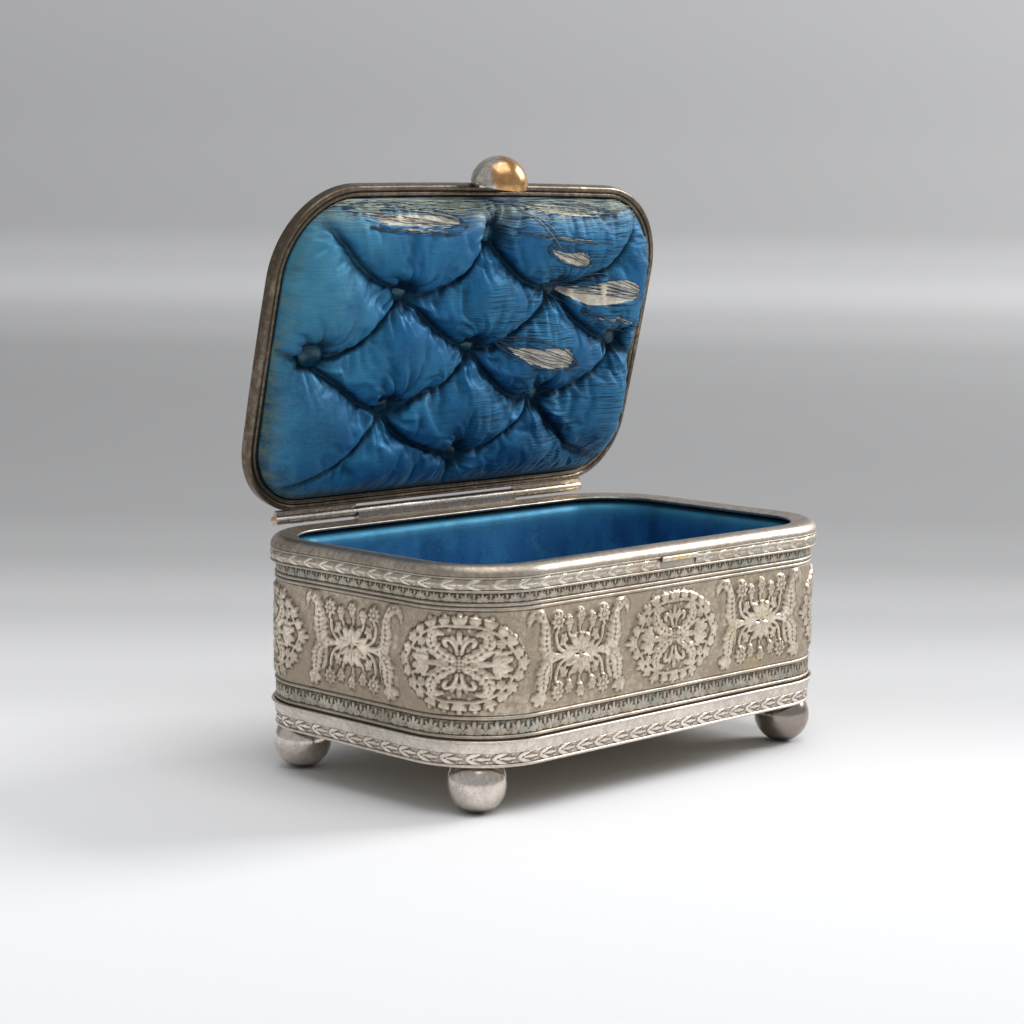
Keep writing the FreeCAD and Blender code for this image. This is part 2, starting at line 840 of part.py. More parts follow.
def lid_pad():
    """The satin cushion: a thin rim under the frame, a crown with drawn-in sides, and tufts."""
    crown = pad_outline()
    bulge_z = pad_base_z - pad_height * pad_bulge_share - pad_rim_thickness / 2
    turn_z = pad_base_z - pad_height * pad_turn_share - pad_rim_thickness / 2
    roll_z = pad_base_z - pad_height * pad_roll_share
    brow_z = (roll_z + 2 * pad_top_z) / 3
    border = sweep([
        (-pad_draw_in, pad_base_z),
        (-pad_draw_in, pad_rim_z),
        (0, bulge_z, -pad_draw_in, turn_z),
        (-pad_roll_width, roll_z, -pad_brow_width, brow_z),
        (-pad_border_width, pad_top_z),
        (-pad_border_width, pad_base_z),
    ], crown)
    middle = slab(crown, -pad_border_width, pad_top_z, pad_base_z)
    rim = slab(lid_outline, -frame_width - soft_gap, pad_rim_z, pad_base_z)
    pad = joined([rim, border, middle])
    pad = pad.cut(slab(crown, -wadding_border, wadding_under_z, pad_base_z))
    for start, end in pleat_lines():
        pad = pad.cut(pleat(start, end))
    for cell in tuft_cells:
        pad = pad.cut(tuft_dimple(*tuft_point(*cell)))
        pad = pad.cut(tie_hole(*tuft_point(*cell)))
    return pad


def with_tie_holes(shape):
    for cell in tuft_cells:
        shape = shape.cut(tie_hole(*tuft_point(*cell)))
    return shape


def lid_wadding():
    return with_tie_holes(slab(pad_outline(), -wadding_border, wadding_under_z, pad_base_z))


def lid_board():
    return with_tie_holes(slab(lid_outline, -frame_width - soft_gap, board_under_z, board_top_z))


def tuft_button(x, y):
    """A covered button: a low dome that faces out of the cushion."""
    dome_radius = (button_radius ** 2 + button_height ** 2) / (2 * button_height)
    dome = Part.makeSphere(dome_radius, vec(x, y, tuft_floor_z - button_height + dome_radius))
    return dome.common(rod(x, y, tuft_floor_z - dome_radius, tuft_floor_z, dome_radius))


def tuft_tie(x, y):
    """The thread that holds a button, and its knot behind the board."""
    thread = rod(x, y, tuft_floor_z, board_top_z, tie_radius)
    return joined([thread, rod(x, y, board_top_z, board_top_z + knot_height, knot_radius)])


def at_every_tuft(maker):
    return Part.makeCompound([maker(*tuft_point(*cell)) for cell in tuft_cells])


def lining_wall_card():
    """A strip of card that stands on the floor just inside the foot of the wall."""
    outer = -plinth_inset - sheet
    return sweep([
        (outer, floor_top_z),
        (outer, wall_top_z),
        (outer - card_thickness, wall_top_z),
        (outer - card_thickness, floor_top_z),
    ], body_outline)


def lining_wall_pad():
    """Padded satin on the wall card, rounded at its top and bottom edges."""
    back = -plinth_inset - sheet - card_thickness
    front = back - wall_pad_thickness
    edge = wall_pad_edge
    top = ledge_inner_z - ledge_nose - lining_top_gap
    low = floor_top_z + floor_card_thickness + floor_pad_thickness + wall_pad_floor_gap
    near = back - wall_pad_thickness * math.sin(math.radians(pad_edge_turn))
    section = [
        (back, top),
        (near, top - edge * (1 - math.cos(math.radians(pad_edge_turn))), front, top - edge),
        (front, low + edge),
        (near, low + edge * (1 - math.cos(math.radians(pad_edge_turn))), back, low),
    ]
    return sweep(section, body_outline)


def lining_floor_card():
    card = slab(body_outline, -plinth_inset - sheet - card_thickness - floor_card_gap,
                floor_top_z, floor_top_z + floor_card_thickness)
    for x, y in foot_places.values():
        card = card.cut(rod(x, y, floor_top_z - overrun, floor_top_z + floor_card_thickness + overrun,
                            nut_corner_radius + nut_hole_gap))
    return card


def lining_floor_pad():
    """The padded satin floor, lower round its edge than in the middle."""
    low = floor_top_z + floor_card_thickness
    high = low + floor_pad_thickness
    edge = -plinth_inset - sheet - card_thickness - floor_card_gap
    border = sweep([
        (edge, low),
        (edge, high - floor_pad_edge),
        (edge - floor_pad_border / 3, high - floor_pad_edge / 4, edge - floor_pad_border, high),
        (edge - floor_pad_border, low),
    ], body_outline)
    return joined([border, slab(body_outline, edge - floor_pad_border, low, high)])


def make_body():
    ledge = rim_ledge()
    pieces = {
        "body_shell": body_shell(),
        "floor_plate": floor_plate(),
        "base_gallery": base_gallery(),
        "rim_band": rim_band(),
        "rim_ledge": ledge,
        "catch_bar": catch_bar(),
        "hinge_knuckle_body": hinge_knuckle_body(ledge),
        "foot_collars": at_every_foot(foot_collar),
        "foot_studs": at_every_foot(foot_stud),
        "foot_nuts": at_every_foot(foot_nut),
        "lining_wall_card": lining_wall_card(),
        "lining_wall_pad": lining_wall_pad(),
        "lining_floor_card": lining_floor_card(),
        "lining_floor_pad": lining_floor_pad(),
    }
    for name, (x, y) in foot_places.items():
        pieces["ball_foot_" + name] = ball_foot(x, y)
    return pieces


def make_lid():
    return {
        "lid_shell": lid_shell(),
        "lid_frame": lid_frame(),
        "lid_knob": lid_knob(),
        "knob_plate": knob_plate(),
        "hinge_knuckle_left": hinge_knuckle_lid(-1),
        "hinge_knuckle_right": hinge_knuckle_lid(1),
        "hinge_pin": hinge_pin(),
        "lid_board": lid_board(),
        "lid_wadding": lid_wadding(),
        "lid_pad": lid_pad(),
        "tuft_buttons": at_every_tuft(tuft_button),
        "tuft_ties": at_every_tuft(tuft_tie),
    }


def main():
    os.makedirs("parts", exist_ok=True)
    pieces = make_body()
    for name, shape in make_lid().items():
        shape.rotate(vec(0, hinge_y, hinge_z), vec(1, 0, 0), -lid_open_angle)
        pieces[name] = shape
    for name, shape in pieces.items():
        shape.exportStep("parts/" + name + ".step")
        box = shape.BoundBox
        print(name, len(shape.Solids), shape.isValid(), round(shape.Volume, 1),
              [round(value, 2) for value in (box.XMin, box.XMax, box.YMin, box.YMax, box.ZMin, box.ZMax)])


main()
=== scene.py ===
# %% [markdown]
# A repousse trinket box: stamped and chased silver plate on four ball feet, lined with blue satin,
# with a hinged lid that holds a tufted cushion. The metal bodies come from the fixed frame. This
# scene adds the chased ornament, the soft goods and the finishes. The shapes here are surfaces
# worked out with numpy, because a relief is a height at each place on a grid, which is exactly
# what an array holds.

# %% Load the frame
import math
import bpy
import numpy as np
from mathutils import Matrix, Vector


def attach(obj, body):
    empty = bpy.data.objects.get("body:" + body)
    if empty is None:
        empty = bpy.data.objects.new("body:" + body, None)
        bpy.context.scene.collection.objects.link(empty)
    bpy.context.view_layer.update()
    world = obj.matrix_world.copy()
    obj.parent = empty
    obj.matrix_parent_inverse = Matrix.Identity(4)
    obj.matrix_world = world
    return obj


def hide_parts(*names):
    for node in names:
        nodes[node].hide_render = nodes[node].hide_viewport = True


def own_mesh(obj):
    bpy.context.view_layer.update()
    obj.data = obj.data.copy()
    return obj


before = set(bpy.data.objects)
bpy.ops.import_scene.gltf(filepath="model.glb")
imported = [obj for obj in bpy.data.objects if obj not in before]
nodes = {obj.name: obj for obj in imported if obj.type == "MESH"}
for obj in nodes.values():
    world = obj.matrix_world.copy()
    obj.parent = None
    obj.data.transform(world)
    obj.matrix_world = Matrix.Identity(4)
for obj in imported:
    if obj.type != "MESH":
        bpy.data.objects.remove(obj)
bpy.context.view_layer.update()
MM = 0.001

# %% [markdown]
# The box is drawn in millimetres, which is how a silversmith measures, and turned into metres when
# a mesh is made. These sizes repeat the frame's: the wall's plan, the heights of its beads, the
# hinge, and the angle at which the lid stands. The lid is worked out shut, where its shapes are
# level, and then opened about the hinge.

# %% Sizes that the pieces share
half_length, half_width, corner_radius = 70.0, 43.5, 21.5
bead_low, bead_high = 24.717, 51.217        # middles of the two beads that bound the frieze
rim_offset = 1.6                            # how far the rim stands out from the wall
hinge_y, hinge_z = 45.2, 63.617
open_angle = math.radians(77.0)
lid_front, lid_back = -45.3, 42.7
board_under, lid_flat = 63.967, 69.367      # the face that the cushion lies on, and the lid's outside
tuft_y = (lid_front + lid_back) / 2
tuft_pitch_x, tuft_pitch_y = 28.5, 15.5
pieces_made = []


def opened(points):
    """Turns points of the shut lid about the hinge: back by the open angle, in the y-z plane."""
    out = np.array(points, float)
    dy, dz = out[..., 1] - hinge_y, out[..., 2] - hinge_z
    out[..., 1] = hinge_y + dy * math.cos(open_angle) + dz * math.sin(open_angle)
    out[..., 2] = hinge_z - dy * math.sin(open_angle) + dz * math.cos(open_angle)
    return out


# %% [markdown]
# An outline is a chain of arcs and straight runs. Measured along its length it works like a tape
# laid round the box: a distance gives a place and the direction that faces out. Every band of
# ornament is drawn flat, on a tape, and then wrapped on with this.

# %% Outlines, measured along their length
def wall_runs():
    """A rounded rectangle from the middle of the front, anticlockwise: the box's plan."""
    x, y, r = half_length - corner_radius, half_width - corner_radius, corner_radius
    return [("line", 0, -half_width, x, -half_width), ("arc", x, -y, r, -90, 0),
            ("line", half_length, -y, half_length, y), ("arc", x, y, r, 0, 90),
            ("line", x, half_width, -x, half_width), ("arc", -x, y, r, 90, 180),
            ("line", -half_length, y, -half_length, -y), ("arc", -x, -y, r, 180, 270),
            ("line", -x, -half_width, 0, -half_width)]


def lid_runs(front_radius=25.0, back_radius=19.5, bow=1.0):
    """The lid's plan: bowed front and sides, a straight back, corners tangent to their arcs."""
    half_x = half_length + rim_offset
    half_y = (lid_back - lid_front) / 2
    side_r = (half_y ** 2 + bow ** 2) / (2 * bow)
    side_x, side_y = half_x - side_r, (lid_front + lid_back) / 2
    front_r = (half_x ** 2 + bow ** 2) / (2 * bow)
    front_cy = lid_front + front_r
    ra, rb = front_r - front_radius, side_r - front_radius
    span = math.hypot(side_x, side_y - front_cy)
    along = (span ** 2 + ra ** 2 - rb ** 2) / (2 * span)
    across = math.sqrt(ra ** 2 - along ** 2)
    ux, uy = side_x / span, (side_y - front_cy) / span
    fx, fy = max(((along * ux - across * uy, front_cy + along * uy + across * ux),
                  (along * ux + across * uy, front_cy + along * uy - across * ux)),
                 key=lambda p: p[0] - p[1])
    by = lid_back - back_radius
    bx = side_x + math.sqrt((side_r - back_radius) ** 2 - (by - side_y) ** 2)
    a = math.degrees(math.atan2(fy - front_cy, fx))
    b = math.degrees(math.atan2(fy - side_y, fx - side_x))
    c = math.degrees(math.atan2(by - side_y, bx - side_x))
    return [("arc", 0, front_cy, front_r, -90, a), ("arc", fx, fy, front_radius, a, b),
            ("arc", side_x, side_y, side_r, b, c), ("arc", bx, by, back_radius, c, 90),
            ("line", bx, lid_back, -bx, lid_back), ("arc", -bx, by, back_radius, 90, 180 - c),
            ("arc", -side_x, side_y, side_r, 180 - c, 180 - b),
            ("arc", -fx, fy, front_radius, 180 - b, 180 - a),
            ("arc", 0, front_cy, front_r, -180 - a, -90)]


def run_length(run):
    if run[0] == "line":
        return math.hypot(run[3] - run[1], run[4] - run[2])
    return run[3] * math.radians(run[5] - run[4])


def outline_length(runs):
    return sum(run_length(run) for run in runs)


def along(runs, distance):
    """Place (x, y) and outward direction (nx, ny) at each distance along a chain of runs."""
    distance = np.mod(np.asarray(distance, float), outline_length(runs))
    x, y, nx, ny = (np.zeros_like(distance) for _ in range(4))
    start = 0.0
    for run in runs:
        length = run_length(run)
        here = (distance >= start - 1e-9) & (distance <= start + length + 1e-9)
        part = (distance[here] - start) / length
        if run[0] == "line":
            dx, dy = (run[3] - run[1]) / length, (run[4] - run[2]) / length
            x[here], y[here] = run[1] + part * length * dx, run[2] + part * length * dy
            nx[here], ny[here] = dy, -dx
        else:
            turn = np.radians(run[4] + part * (run[5] - run[4]))
            nx[here], ny[here] = np.cos(turn), np.sin(turn)
            x[here], y[here] = run[1] + run[3] * nx[here], run[2] + run[3] * ny[here]
        start += length
    return x, y, nx, ny


wall = wall_runs()
lid_edge = lid_runs()
perimeter = outline_length(wall)
print("perimeter of the wall", round(perimeter, 2), "mm, of the lid", round(outline_length(lid_edge), 2))

# %% [markdown]
# One helper turns a grid of points into a mesh. It can join the grid's last row to its first, and
# it stores two things for the finish: flat coordinates in millimetres as a UV map, so that a weave
# follows the cloth, and the relief's hollows as an attribute, so that tarnish lies where a
# polishing cloth does not reach.

# %% From grid to mesh
def mesh_piece(name, points, loops, corners, uv=None, marks=None):
    """A piece from points in millimetres, the faces' corners one after another, and each face's count.

    uv holds two lengths for each point, and marks named numbers for each point."""
    mesh = bpy.data.meshes.new(name)
    mesh.vertices.add(len(points))
    mesh.vertices.foreach_set("co", (points * MM).astype(np.float32).ravel())
    mesh.loops.add(len(loops))
    mesh.loops.foreach_set("vertex_index", loops.astype(np.int32))
    mesh.polygons.add(len(corners))
    starts = np.cumsum(corners) - corners
    mesh.polygons.foreach_set("loop_start", starts.astype(np.int32))
    if uv is not None:
        layer = mesh.uv_layers.new(name="cloth")
        layer.data.foreach_set("uv", uv[loops].astype(np.float32).ravel())
    for label, values in (marks or {}).items():
        store = mesh.attributes.new(label, "FLOAT", "POINT")
        store.data.foreach_set("value", np.asarray(values, np.float32).ravel())
    mesh.update(calc_edges=True)
    mesh.validate()
    piece = bpy.data.objects.new(name, mesh)
    bpy.context.scene.collection.objects.link(piece)
    pieces_made.append(piece)
    return piece


def grid_piece(name, points, wrap_rows=False, wrap_columns=False, caps=(), uv=None, marks=None):
    """Faces join each point to its neighbours. caps lists closed rings of indices to fill."""
    rows, columns = points.shape[:2]
    index = np.arange(rows * columns).reshape(rows, columns)
    r = np.arange(rows if wrap_rows else rows - 1)
    c = np.arange(columns if wrap_columns else columns - 1)
    r2, c2 = (r + 1) % rows, (c + 1) % columns
    quads = np.stack([index[np.ix_(r, c)], index[np.ix_(r2, c)],
                      index[np.ix_(r2, c2)], index[np.ix_(r, c2)]], -1).reshape(-1, 4)
    loops = np.concatenate([quads.ravel(), *caps])
    corners = np.array([4] * len(quads) + [len(ring) for ring in caps])
    flat_uv = None if uv is None else uv.reshape(-1, 2)
    return mesh_piece(name, points.reshape(-1, 3), loops, corners, flat_uv, marks)


def noise_field(shape, cells, seed, wrap=True):
    """Smooth random heights from -1 to 1: a coarse random grid, blended up with cubic weights."""
    rng = np.random.default_rng(seed)
    coarse = rng.uniform(-1, 1, (cells[0], cells[1]))
    out = coarse
    for axis in (0, 1):
        n = out.shape[axis]
        t = np.arange(shape[axis]) * (n / shape[axis] if wrap else (n - 1) / (shape[axis] - 1))
        low = np.floor(t).astype(int)
        w = t - low
        w = w * w * (3 - 2 * w)
        a = np.take(out, low % n, axis)
        b = np.take(out, (low + 1) % n if wrap else np.minimum(low + 1, n - 1), axis)
        w = w[:, None] if axis == 0 else w[None, :]
        out = a * (1 - w) + b * w
    return out


def slack(shape, cells, seed):
    """Noise for a sheet, whose ends don't meet."""
    return noise_field(shape, cells, seed, wrap=False)


def softened(height, steps):
    """Each pass takes the mean of a point and its four neighbours."""
    for _ in range(steps):
        height = (height + np.roll(height, 1, 0) + np.roll(height, -1, 0)
                  + np.roll(height, 1, 1) + np.roll(height, -1, 1)) / 5
    return height


# %% [markdown]
# Chased ornament is built from a few strokes that the punches leave: a round boss, a raised line
# that swells and tapers, a petal with a vein. Each is a small formula for a height, and a drawing
# is the highest of all its strokes at each place.

# %% The chaser's strokes
def boss(x, z, cx, cz, radius, high=1.0):
    """A low dome: high times the root of one minus the squared distance over the radius."""
    return high * np.sqrt(np.clip(1 - ((x - cx) / radius) ** 2 - ((z - cz) / radius) ** 2, 0, None))


def turned(x, z, cx, cz, degrees):
    """Lengths along and across a direction, measured from (cx, cz)."""
    c, s = math.cos(math.radians(degrees)), math.sin(math.radians(degrees))
    return (x - cx) * c + (z - cz) * s, -(x - cx) * s + (z - cz) * c


def petal(x, z, cx, cz, length, width, turn, high=1.0, vein=0.35):
    """A leaf that starts at (cx, cz) and runs along turn, widest in its middle, with a sunk vein."""
    u, v = turned(x, z, cx, cz, turn)
    u = u / length
    half = width / 2 * np.sqrt(np.clip(4 * u * (1 - u), 0, None)) + 1e-6
    body = np.sqrt(np.clip(1 - (v / half) ** 2, 0, None))
    groove = 1 - vein * np.exp(-(v / (0.13 * width)) ** 2)
    return np.where((u > 0) & (u < 1), high * body * groove * (0.65 + 0.35 * np.sqrt(np.clip(u, 0, 1))), 0)


def bend(points, count=26):
    """Places along a Bezier curve through its control points."""
    t = np.linspace(0, 1, count)[:, None]
    pts = [np.array(p, float)[None, :] for p in points]
    while len(pts) > 1:
        pts = [a * (1 - t) + b * t for a, b in zip(pts[:-1], pts[1:])]
    return pts[0]


def nearest(x, z, path):
    """For each piece of a path: the share of its length, and the way from there, at the nearest place."""
    for i, ((px, pz), (qx, qz)) in enumerate(zip(path[:-1], path[1:])):
        dx, dz = qx - px, qz - pz
        part = np.clip(((x - px) * dx + (z - pz) * dz) / (dx * dx + dz * dz + 1e-9), 0, 1)
        yield (i + part) / (len(path) - 1), x - px - part * dx, z - pz - part * dz


def stroke(x, z, points, width, high=1.0):
    """A raised line along a curve, round across: the root of 1 - (distance / width)^2."""
    best = np.full(x.shape, -1.0)
    for _, u, v in nearest(x, z, bend(points, 9 if len(points) < 3 else 15)):
        best = np.maximum(best, 1 - (u ** 2 + v ** 2) / (width * width))
    return high * np.sqrt(np.clip(best, 0, None))


def acanthus(x, z, points, width, high=1.0, leaves=6):
    """A long leaf along a curve: lobed sides, a sunk vein down its middle and slanting ribs.

    With d the distance to the curve, w the half width and t the share of the length, the height is
    the root of 1 - (d/w)^2, times a dip at d = 0, times a cosine of t + d/w for the ribs."""
    near, at = np.full(x.shape, 9.0), np.zeros(x.shape)
    for t, u, v in nearest(x, z, bend(points, 21)):
        d = np.hypot(u, v) / (width * (0.35 + 0.9 * np.sin(np.pi * t ** 0.7)))
        at = np.where(d < near, t, at)
        near = np.minimum(d, near)
    wave = 2 * np.pi * leaves * at
    near = near / (0.9 + 0.12 * np.cos(wave - 2.0))
    rib = 0.82 + 0.18 * np.cos(1.5 * wave - 4.2 * near)
    return high * np.sqrt(np.clip(1 - near ** 2, 0, None)) * (1 - 0.45 * np.exp(-(near / 0.16) ** 2)) * rib


def daisy(x, z, cx, cz, radius, petals=8, high=1.0, turn=0.0):
    """Petals are a ring whose height follows a cosine of the angle; a bead sits in the middle."""
    r = np.hypot(x - cx, z - cz) / radius
    angle = np.arctan2(z - cz, x - cx) + turn
    edge = 0.86 + 0.14 * np.cos(petals * angle)
    ring = np.clip(1 - ((r - 0.62) / 0.4) ** 2, 0, None) * (r < edge)
    ring = ring * (0.72 + 0.28 * np.cos(petals * angle))
    bead = np.sqrt(np.clip(1 - (r / 0.3) ** 2, 0, None))
    return high * np.maximum(ring, 0.95 * bead)


def highest(*heights):
    out = heights[0]
    for height in heights[1:]:
        out = np.maximum(out, height)
    return out


# %% [markdown]
# The frieze repeats two motifs. The spray is a pair of leafy cups with flower stems that fan up and
# down, held between tall curled leaves. It is drawn for one side and mirrored by taking the
# absolute value of x, as a die sinker turns a pattern over.

# %% The flower spray
def spray(x, z):
    """Height of the spray, from 0 to 1, with (0, 0) at its middle."""
    ax, az = np.abs(x), np.abs(z)
    sz = az / np.where(z > 0, 1.0, 0.96)
    parts = [
        petal(ax, az, 0.0, 0.5, 4.4, 3.0, 90), petal(ax, az, 0.2, 0.7, 5.2, 2.6, 54, 0.95),
        petal(ax, az, 0.5, 0.5, 5.0, 2.2, 20, 0.9), boss(ax, z, 0, 0, 0.75, 0.9),
        stroke(ax, sz, [(1.2, 0.7), (6.5, 0.2), (8.6, 2.2), (8.3, 6.6)], 0.55, 0.85),
        stroke(ax, sz, [(0.9, 2.6), (3.4, 3.2), (4.0, 6.6)], 0.46, 0.8),
        stroke(ax, sz, [(0, 3.6), (0, 7.6)], 0.46, 0.8),
        stroke(ax, sz, [(1.9, 1.6), (4.6, 1.7), (6.2, 2.9), (5.3, 4.4)], 0.46, 0.8),
        daisy(ax, sz, 8.1, 8.9, 2.35, 8, 0.95), daisy(ax, sz, 4.1, 8.3, 1.6, 6, 0.9),
        daisy(ax, sz, 0, 9.6, 1.65, 6, 0.95), daisy(ax, sz, 5.5, 4.3, 1.5, 5, 0.9, 0.4),
        petal(ax, sz, 3.9, 5.7, 2.0, 1.6, 80, 0.8), petal(ax, sz, 0, 6.7, 2.0, 1.8, 90, 0.8),
        petal(ax, sz, 5.4, 3.0, 1.8, 1.3, 10, 0.8),
        stroke(ax, z, [(2.0, 0.15), (7.5, 0.4), (10.4, 0.0), (11.4, 1.8)], 0.6, 0.85),
        acanthus(ax, z, [(9.4, 0.3), (14.2, 1.6), (11.2, 6.8), (13.0, 10.4)], 2.2, 1.0, 6),
        acanthus(ax, z, [(12.6, 7.4), (12.9, 12.4), (17.2, 12.9), (17.4, 8.4)], 1.5, 0.95, 4),
        stroke(ax, -z, [(3.0, 0.2), (8.5, -0.2), (11.6, 0.8), (12.6, 4.0)], 0.6, 0.85),
        acanthus(ax, -z, [(10.2, 0.8), (14.8, 2.4), (12.0, 6.0), (14.4, 9.8)], 2.1, 1.0, 6),
        stroke(ax, -z, [(10.2, 0.6), (9.7, 4.2), (11.0, 7.0)], 0.5, 0.7)]
    parts += [petal(ax, -z, 14.2, 8.0, size, 1.9, turn, 0.95)
              for turn, size in ((136, 3.2), (104, 3.6), (70, 3.6), (36, 3.0))]
    return np.clip(highest(*parts), 0, 1)


# %% [markdown]
# The medallion is a pointed oval inside a frill of shells. Four acanthus scrolls lie round a small
# netted centre, with daisies and pearls in the corners that they leave. It is the same on both
# sides of both middle lines, so only a quarter is drawn.

# %% The medallion
def medallion(x, z):
    """Height of the medallion, from 0 to 1, with (0, 0) at its middle."""
    ax, az = np.abs(x), np.abs(z)
    rim = [(0, 9.1), (5.4, 9.8), (9.6, 8.6), (12.4, 4.4), (14.2, 1.4), (15.0, 0)]
    shells = ((0, 9.0, 90, 3.9), (3.6, 9.4, 84, 2.7), (6.8, 8.6, 68, 3.2), (9.6, 7.0, 50, 2.7),
              (11.6, 4.9, 42, 3.2), (13.4, 2.4, 26, 2.7), (14.2, 0, 0, 3.8))
    core = np.clip(1 - (np.hypot(ax / 2.3, az / 2.1)) ** 4, 0, 1)
    net = 0.45 + 0.4 * np.cos((x + z) * 3.6) * np.cos((x - z) * 3.6)
    parts = [
        core * net, stroke(ax, az, rim, 0.36, 0.7), petal(ax, az, 2.2, 0.0, 6.4, 1.7, 0, 0.85),
        acanthus(ax, az, [(1.2, 1.2), (4.8, 1.2), (9.4, 4.6), (7.6, 8.4), (4.2, 7.2)], 1.7, 1.0, 6),
        stroke(ax, az, [(0.5, 2.6), (0.9, 6.0), (3.8, 7.4), (4.6, 5.2), (3.2, 4.4)], 0.5, 0.85),
        petal(ax, az, 0, 4.6, 3.6, 1.5, 90, 0.9), petal(ax, az, 0.3, 4.2, 3.2, 1.3, 56, 0.85),
        stroke(ax, az, [(6.0, 3.2), (7.6, 2.6), (9.0, 3.4)], 0.4, 0.8),
        daisy(ax, az, 9.9, 5.0, 1.4, 8, 0.9), boss(ax, az, 3.6, 5.2, 0.7, 0.85),
        boss(ax, az, 12.2, 2.9, 0.5, 0.8), boss(ax, az, 7.0, 7.9, 0.45, 0.8),
        boss(ax, az, 2.4, 8.2, 0.45, 0.8)]
    parts += [petal(ax, az, cx, cz, size * share, 1.5, turn + lean, 0.9)
              for cx, cz, turn, size in shells for lean, share in ((-34, 0.8), (34, 0.8), (0, 1.0))]
    parts += [petal(ax, az, 8.0, 0.2, size, wide, turn, 0.95)
              for turn, size, wide in ((62, 3.8, 1.9), (38, 4.6, 2.1), (14, 5.0, 2.2))]
    return np.clip(highest(*parts), 0, 1)


# %% [markdown]
# Around the box the two motifs take turns, six of each, so that a medallion stands in the middle of
# the front and of the back. One repeat is worked out on a fine grid and then copied, because the
# real strip was stamped again and again from a single die. Slow waves in the height of the whole
# strip stand for the uneven blows and for wear.

# %% The frieze round the wall
repeats = 6
tile = perimeter / repeats
tile_columns = 280
ring_columns = repeats * tile_columns
column_at = np.arange(ring_columns) * perimeter / ring_columns


def hollows(height, steps=7):
    """How far each place lies below the mean of its surroundings: where tarnish stays on the metal, and where
    the satin gets painted shade.
    """
    return softened(height, steps) - height


def wrapped_bands(name, low, high, rows, base, height, relief, gap=None, parts=1, extra=0.35, body=0.0):
    """Wraps a drawing on the wall: out by base(z) and the relief, closed behind by a plain back.

    height has one row for each column round the box, and body is a broader form under it, in
    millimetres. gap leaves out columns at the front."""
    z = np.linspace(low, high, rows)
    dark = hollows(height)
    lift = relief * height + body
    keep = np.arange(ring_columns)
    if gap is not None:
        keep = keep[(column_at >= gap) & (column_at <= perimeter - gap)]
    made = []
    closed = parts == 1 and gap is None
    for part in range(parts):
        a, b = part * len(keep) // parts, (part + 1) * len(keep) // parts
        ids = keep[a:b] if closed or b == len(keep) and gap is not None else \
            np.take(keep, np.arange(a, b + 1), mode="wrap")
        x, y, nx, ny = along(wall, column_at[ids])
        out = base(z)[None, :] + lift[ids]
        front = np.stack([x[:, None] + nx[:, None] * out, y[:, None] + ny[:, None] * out,
                          np.broadcast_to(z, out.shape)], -1)
        inner = np.array([base(high) - extra, base(low) - extra])
        back = np.stack([x[:, None] + nx[:, None] * inner, y[:, None] + ny[:, None] * inner,
                         np.broadcast_to(np.array([high, low]), (len(ids), 2))], -1)
        points = np.concatenate([front, back], 1)
        marks = np.concatenate([dark[ids], np.zeros((len(ids), 2))], 1)
        rise = np.concatenate([height[ids], np.zeros((len(ids), 2))], 1)
        caps = []
        if not closed:
            width = points.shape[1]
            caps = [np.arange(width), (len(ids) - 1) * width + np.arange(width)[::-1]]
        label = name if parts == 1 else name + "_%d" % (part + 1)
        made.append(grid_piece(label, points, wrap_rows=closed, wrap_columns=True, caps=caps,
                               marks={"hollow": marks, "rise": rise}))
    return made


def raised(x, z, cx, cz, length, width, turn=0.0):
    """A plateau on an oval: 1 up to 0.3 mm outside its edge, and 0 from 0.85 mm outside it."""
    u, v = turned(x, z, cx, cz, turn)
    beyond = (np.hypot(u / (length / 2), v / (width / 2)) - 1) * min(length, width) / 2
    fall = np.clip((0.85 - beyond) / 0.55, 0, 1)
    return fall * fall * (3 - 2 * fall)


def swelling(x, z):
    """The wall's own raised forms, which this skin of finer chasing has to lie over."""
    ax, az = np.abs(x), np.abs(z)
    hole = 1 - raised(ax, az, 0, 0, 21.8, 11.8)
    oval = raised(ax, az, 0, 0, 32.0, 22.0) * (0.6 + 0.4 * hole)
    far = tile / 2 - ax
    return highest(oval, raised(ax, az, 0, 0, 4.6, 4.6), raised(ax, az, 10.0, 0, 5.4, 3.0),
                   raised(ax, az, 5.3, 4.8, 6.6, 4.2, 30),
                   raised(far, az, 0, 2.7, 6.4, 4.0), raised(far, az, 13.4, 5.5, 10.6, 4.2, 82),
                   raised(far, az, 8.1, 8.8, 4.4, 4.4), raised(far, az, 4.1, 8.0, 2.8, 2.8),
                   raised(far, az, 0, 9.4, 3.0, 3.0))


def frieze_drawing(rows, low, high):
    """Heights of the chasing, from 0 to 1, and of the swelling under it, for the whole way round."""
    z = np.linspace(low, high, rows)[None, :] - (bead_low + bead_high) / 2
    s = (np.arange(tile_columns) * tile / tile_columns)[:, None]
    x, z = np.broadcast_arrays(np.where(s > tile / 2, s - tile, s), z)
    one = np.maximum(medallion(x, z), spray(s + 0 * z - tile / 2, z))
    strip = np.tile(one, (repeats, 1))
    strip = strip * (0.86 + 0.14 * noise_field(strip.shape, (36, 4), 3))
    return np.clip(strip, 0, 1), np.tile(swelling(x, z), (repeats, 1))


def flat_base(out):
    return lambda v: out + 0.0 * np.asarray(v, float)


